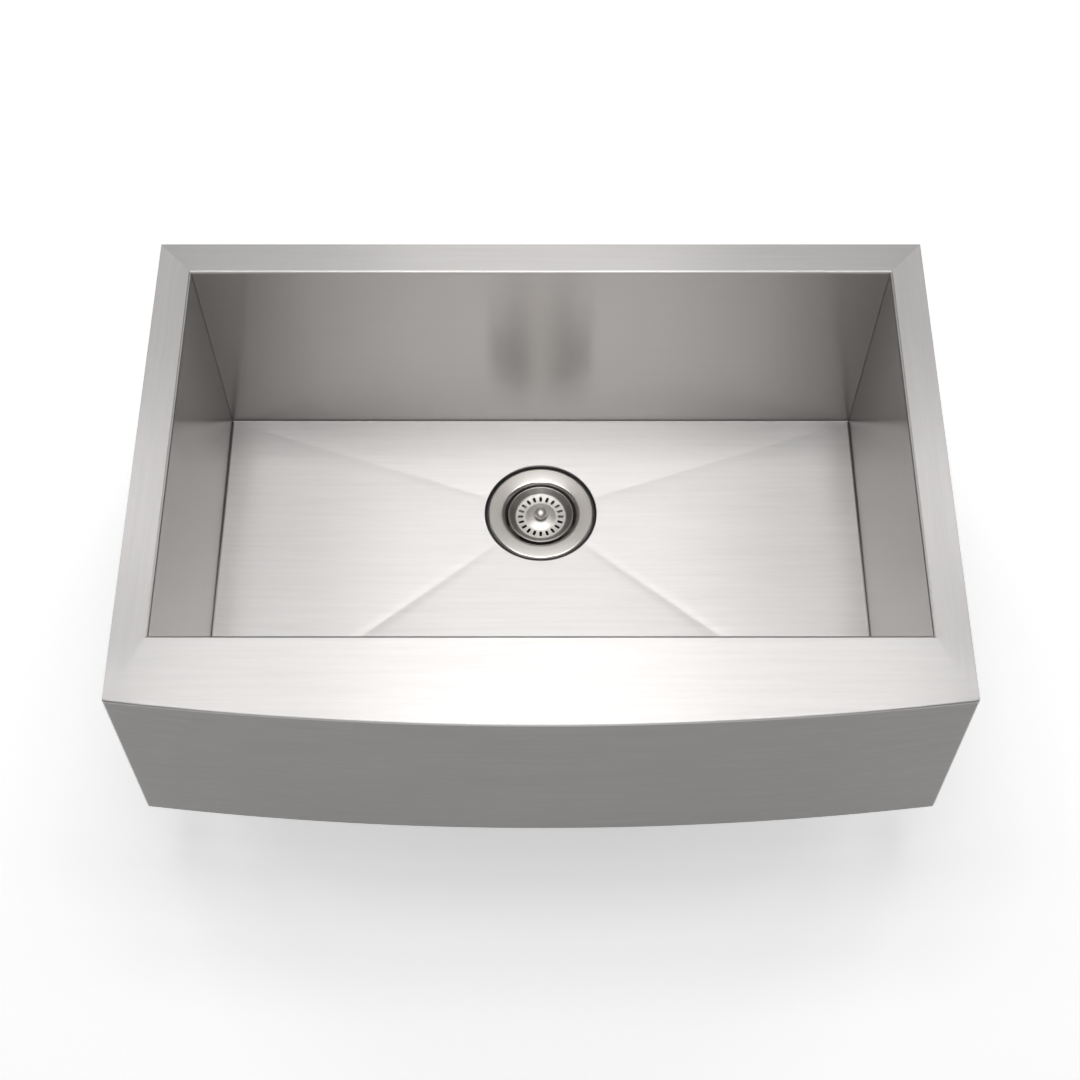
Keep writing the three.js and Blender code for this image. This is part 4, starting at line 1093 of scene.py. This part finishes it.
# The dish's slope takes the drawn finish too: painted shade between the dish and the cup.
dish = make_piece(
    "basket_dish", points, faces, [soft_satin, shaded_drawn], **in_basket,
    patches=[int(all(sloping[i] for i in face)) for face in faces],
)
cutter = slot_cutter()
cutter.matrix_world = dish.matrix_world.copy()
cut = dish.modifiers.new("slots", "BOOLEAN")
cut.object, cut.operation, cut.solver = cutter, "DIFFERENCE", "EXACT"
bpy.context.view_layer.update()
evaluated = dish.evaluated_get(bpy.context.evaluated_depsgraph_get())
finished = bpy.data.meshes.new_from_object(evaluated)
dish.modifiers.clear()
dish.data = finished
finished.shade_smooth()
finished.set_sharp_from_angle(angle=math.radians(35))
bpy.data.objects.remove(cutter)
soften(dish, 0.12, angle=50)
print("basket_dish after its slots:", len(finished.polygons), "faces")

# %% Knob, stem, stopper, nut and clip
CAP, CAP_FOOT, CAP_RISE = 7.5, 4.5, 5.5
hole, foot_z, cap_z = STEM + GAP, knob_foot, knob_foot + CAP_FOOT
cap_angles = [math.pi / 2 * i / 16 for i in range(16)]
knob_outline = [
    (0, foot_z + 5.3), (hole, foot_z + 5.3), (hole, foot_z), (5.6, foot_z), (5.5, foot_z + 0.25),
    (5.0, foot_z + 0.6), (4.6, foot_z + 1.3), (4.6, cap_z - 1.4), (4.9, cap_z - 0.9),
    (6.6, cap_z - 0.35), (7.3, cap_z - 0.1),
    *[(CAP * math.cos(a), cap_z + CAP_RISE * math.sin(a)) for a in cap_angles],
    (0, cap_z + CAP_RISE),
]
make_turned("basket_knob", knob_outline, soft_satin, facets=96, **in_basket)

STOPPER, NECK, STOPPER_HEIGHT, BELL_FOOT = 25, 11, 15, 3
COLLAR, THREAD_PITCH = 5.5, 0.9
stopper_foot = cup_floor + GAP
stopper_top = stopper_foot + STOPPER_HEIGHT
nut_top = stopper_foot - GAP
stem_end = nut_top - 5.2
low, top = stopper_top + GAP, dome_height(COLLAR) - DISH_SHEET - GAP
stem_rows = thread_rows(STEM, stem_end + 0.5, nut_top + 1.5, THREAD_PITCH)
stem_outline = [
    (0, stem_end), (STEM - 0.4, stem_end), *stem_rows, (STEM, low), (COLLAR - 0.3, low),
    (COLLAR, low + 0.3), (COLLAR, top - 0.3), (COLLAR - 0.3, top), (STEM, top),
    (STEM, knob_foot + 5), (0, knob_foot + 5),
]
stem_thread = screw_thread(STEM, stem_end + 0.4, nut_top + 1.5, THREAD_PITCH, 0.35)
make_turned("basket_stem", stem_outline, satin, facets=72, shape=stem_thread, **in_basket)

bell = []
for share in [i / 20 for i in range(20)]:
    radius = STOPPER + (NECK - STOPPER) * math.sin(share * math.pi / 2)
    bell.append((radius, stopper_foot + BELL_FOOT + (STOPPER_HEIGHT - BELL_FOOT) * share))
stopper_outline = [
    (hole, stopper_foot), (STOPPER - 0.4, stopper_foot), (STOPPER, stopper_foot + 0.4), *bell,
    (NECK, stopper_top - 0.4), (NECK - 0.4, stopper_top), (hole, stopper_top),
]
make_turned("basket_stopper", stopper_outline, seal_rubber, "seal_rubber", body="stopper")

HEX, HEX_HEIGHT = 5.8, 3.2


def hexagon(angle, radius, height):
    """Six flats. The corners are cut back by a cone at both ends."""
    if radius < 5:
        return radius
    return min(HEX * math.cos(math.pi / 6) / math.cos(off_nearest(angle, 6)), radius)


low, top = nut_top - HEX_HEIGHT, nut_top
nut_outline = [
    (hole, low), (HEX - 0.7, low), (HEX, low + 0.45),
    (HEX, top - 0.45), (HEX - 0.7, top), (hole, top),
]
turns = sorted([math.pi * (i + 0.5) / 48 for i in range(96)] + [math.pi / 3 * i for i in range(6)])
make_turned("stem_nut", nut_outline, satin, shape=hexagon, angles=turns, sharp=25, **in_basket)

# The clip is a strip that runs down one side, round the foot and up the other.
CLIP_LENGTH, CLIP_WIDTH, STRIP = 14, 4, 0.8
clip_waves = [
    (2.4, 0), (2.25, 0.12), (2.1, 0.26), (2.6, 0.4),
    (3.6, 0.55), (2.95, 0.72), (2.25, 0.85), (0.9, 1),
]
top = stem_end - GAP
outer = [(y, top - CLIP_LENGTH * share) for y, share in clip_waves]
inner = [(y - STRIP, z) for y, z in [(outer[0][0], top - STRIP), *outer[2:-1]]]
inner.append((0.5, outer[-1][1] + STRIP))
loop = [*outer, *[(-y, z) for y, z in outer[::-1] + inner], *inner[::-1]]
clip_outline = [(DRAIN_Y + y, z) for y, z in loop]
profile = side_profile(clip_outline, 0, CLIP_WIDTH)
clip = make_piece("stem_clip", *profile, [satin], sharp=25, **in_basket)
soften(clip, 0.12, angle=35)

# %% [markdown]
# ## The stage
#
# The sink hangs over a plain pale floor, which sweeps up all round as in a photographer's studio,
# so that there is no dark horizon to mirror. Soft boxes hang over it on an arch that runs from the
# back to the camera, the brightest overhead, and the room gives a dim, even fill. The deck and the
# floor of the bowl mirror the soft boxes, the walls mirror the floor of the bowl, and the apron
# mirrors the shaded ground in front of it. A catalogue's ground is nearly white, and more light
# would burn out the steel. The floor therefore glows for the rays that see it, straight or in a
# mirror, and that glow lights nothing.

# %% Floor, light and room
FLOOR_Z = -0.337
FLOOR_RADIUS, SWEEP_RADIUS, WALL_TOP, AROUND = 3.6, 1.4, 3.0, 96
PALE, GLOW, DIM = 0.94, 0.5, 0.04
ARCH, BOX_DEPTH = 2.4, 0.5


def soft_box(name, place, aim, width, depth, radiance):
    """A rectangular lamp. Its radiance is how bright it looks: 1 is white."""
    lamp = bpy.data.lights.new(name, "AREA")
    lamp.shape, lamp.size, lamp.size_y = "RECTANGLE", width, depth
    lamp.energy = radiance * math.pi * width * depth
    held = put_in_scene(name, lamp)
    held.location = place
    held.rotation_euler = (Vector(place) - Vector(aim)).to_track_quat("Z", "Y").to_euler()


pale = Finish("pale_floor", base_color=grey(PALE), roughness=1.0, specular_ior_level=0.0)
path = pale.node("LightPath").node
seen = Number(pale.tree, path.outputs["Is Camera Ray"])
for ray in ("Is Glossy Ray", "Is Transmission Ray"):
    seen = seen + Number(pale.tree, path.outputs[ray])
glow = pale.blend(seen.clamped(), grey(0), grey(GLOW))
pale.feed(emission_color=glow, emission_strength=1.0)
outline = [(FLOOR_RADIUS, 0), *arc(FLOOR_RADIUS, SWEEP_RADIUS, SWEEP_RADIUS, -90, 0, 24)[1:]]
outline.append((FLOOR_RADIUS + SWEEP_RADIUS, WALL_TOP))
turns = [2 * math.pi * i / AROUND for i in range(AROUND)]
sweep = [[(r * math.cos(t), r * math.sin(t), FLOOR_Z + z) for t in turns] for r, z in outline]
mesh = bpy.data.meshes.new("floor")
faces = [tuple(range(AROUND)), *skin(0, sweep, inward=True)]
mesh.from_pydata(sum(sweep, []), [], faces)
mesh.materials.append(pale.material)
put_in_scene("floor", mesh)

arch_boxes = (
    # elevation over the back of the sink, distance from the middle, width, radiance
    (40, 1.35, 0.8, 2.1),
    (52, 0, 0.7, 0.4),
    (52, 1.35, 0.8, 1.5),
    (52, 2.2, 0.9, 4.4),
    (64, 0, 0.7, 1.5),
    (64, 1.35, 0.8, 0.4),
    (76, 0, 1.9, 3.6),
    (90, 0, 0.7, 4.1),
    (90, 0.65, 0.6, 5.2),
    (105, 0, 0.7, 3.0),
    (120, 0, 0.8, 1.7),
)
for elevation, distance, width, radiance in arch_boxes:
    back, up = ARCH * math.cos(math.radians(elevation)), ARCH * math.sin(math.radians(elevation))
    for x in sorted({-distance, distance}):
        soft_box(f"arch_{elevation}", (x, back, up), (x, 0, 0), width, BOX_DEPTH, radiance)
room = bpy.data.worlds.new("room")
room.use_nodes = True
room.node_tree.nodes["Background"].inputs[0].default_value = grey(DIM)
bpy.context.scene.world = room
bpy.context.scene.view_settings.view_transform = "Standard"
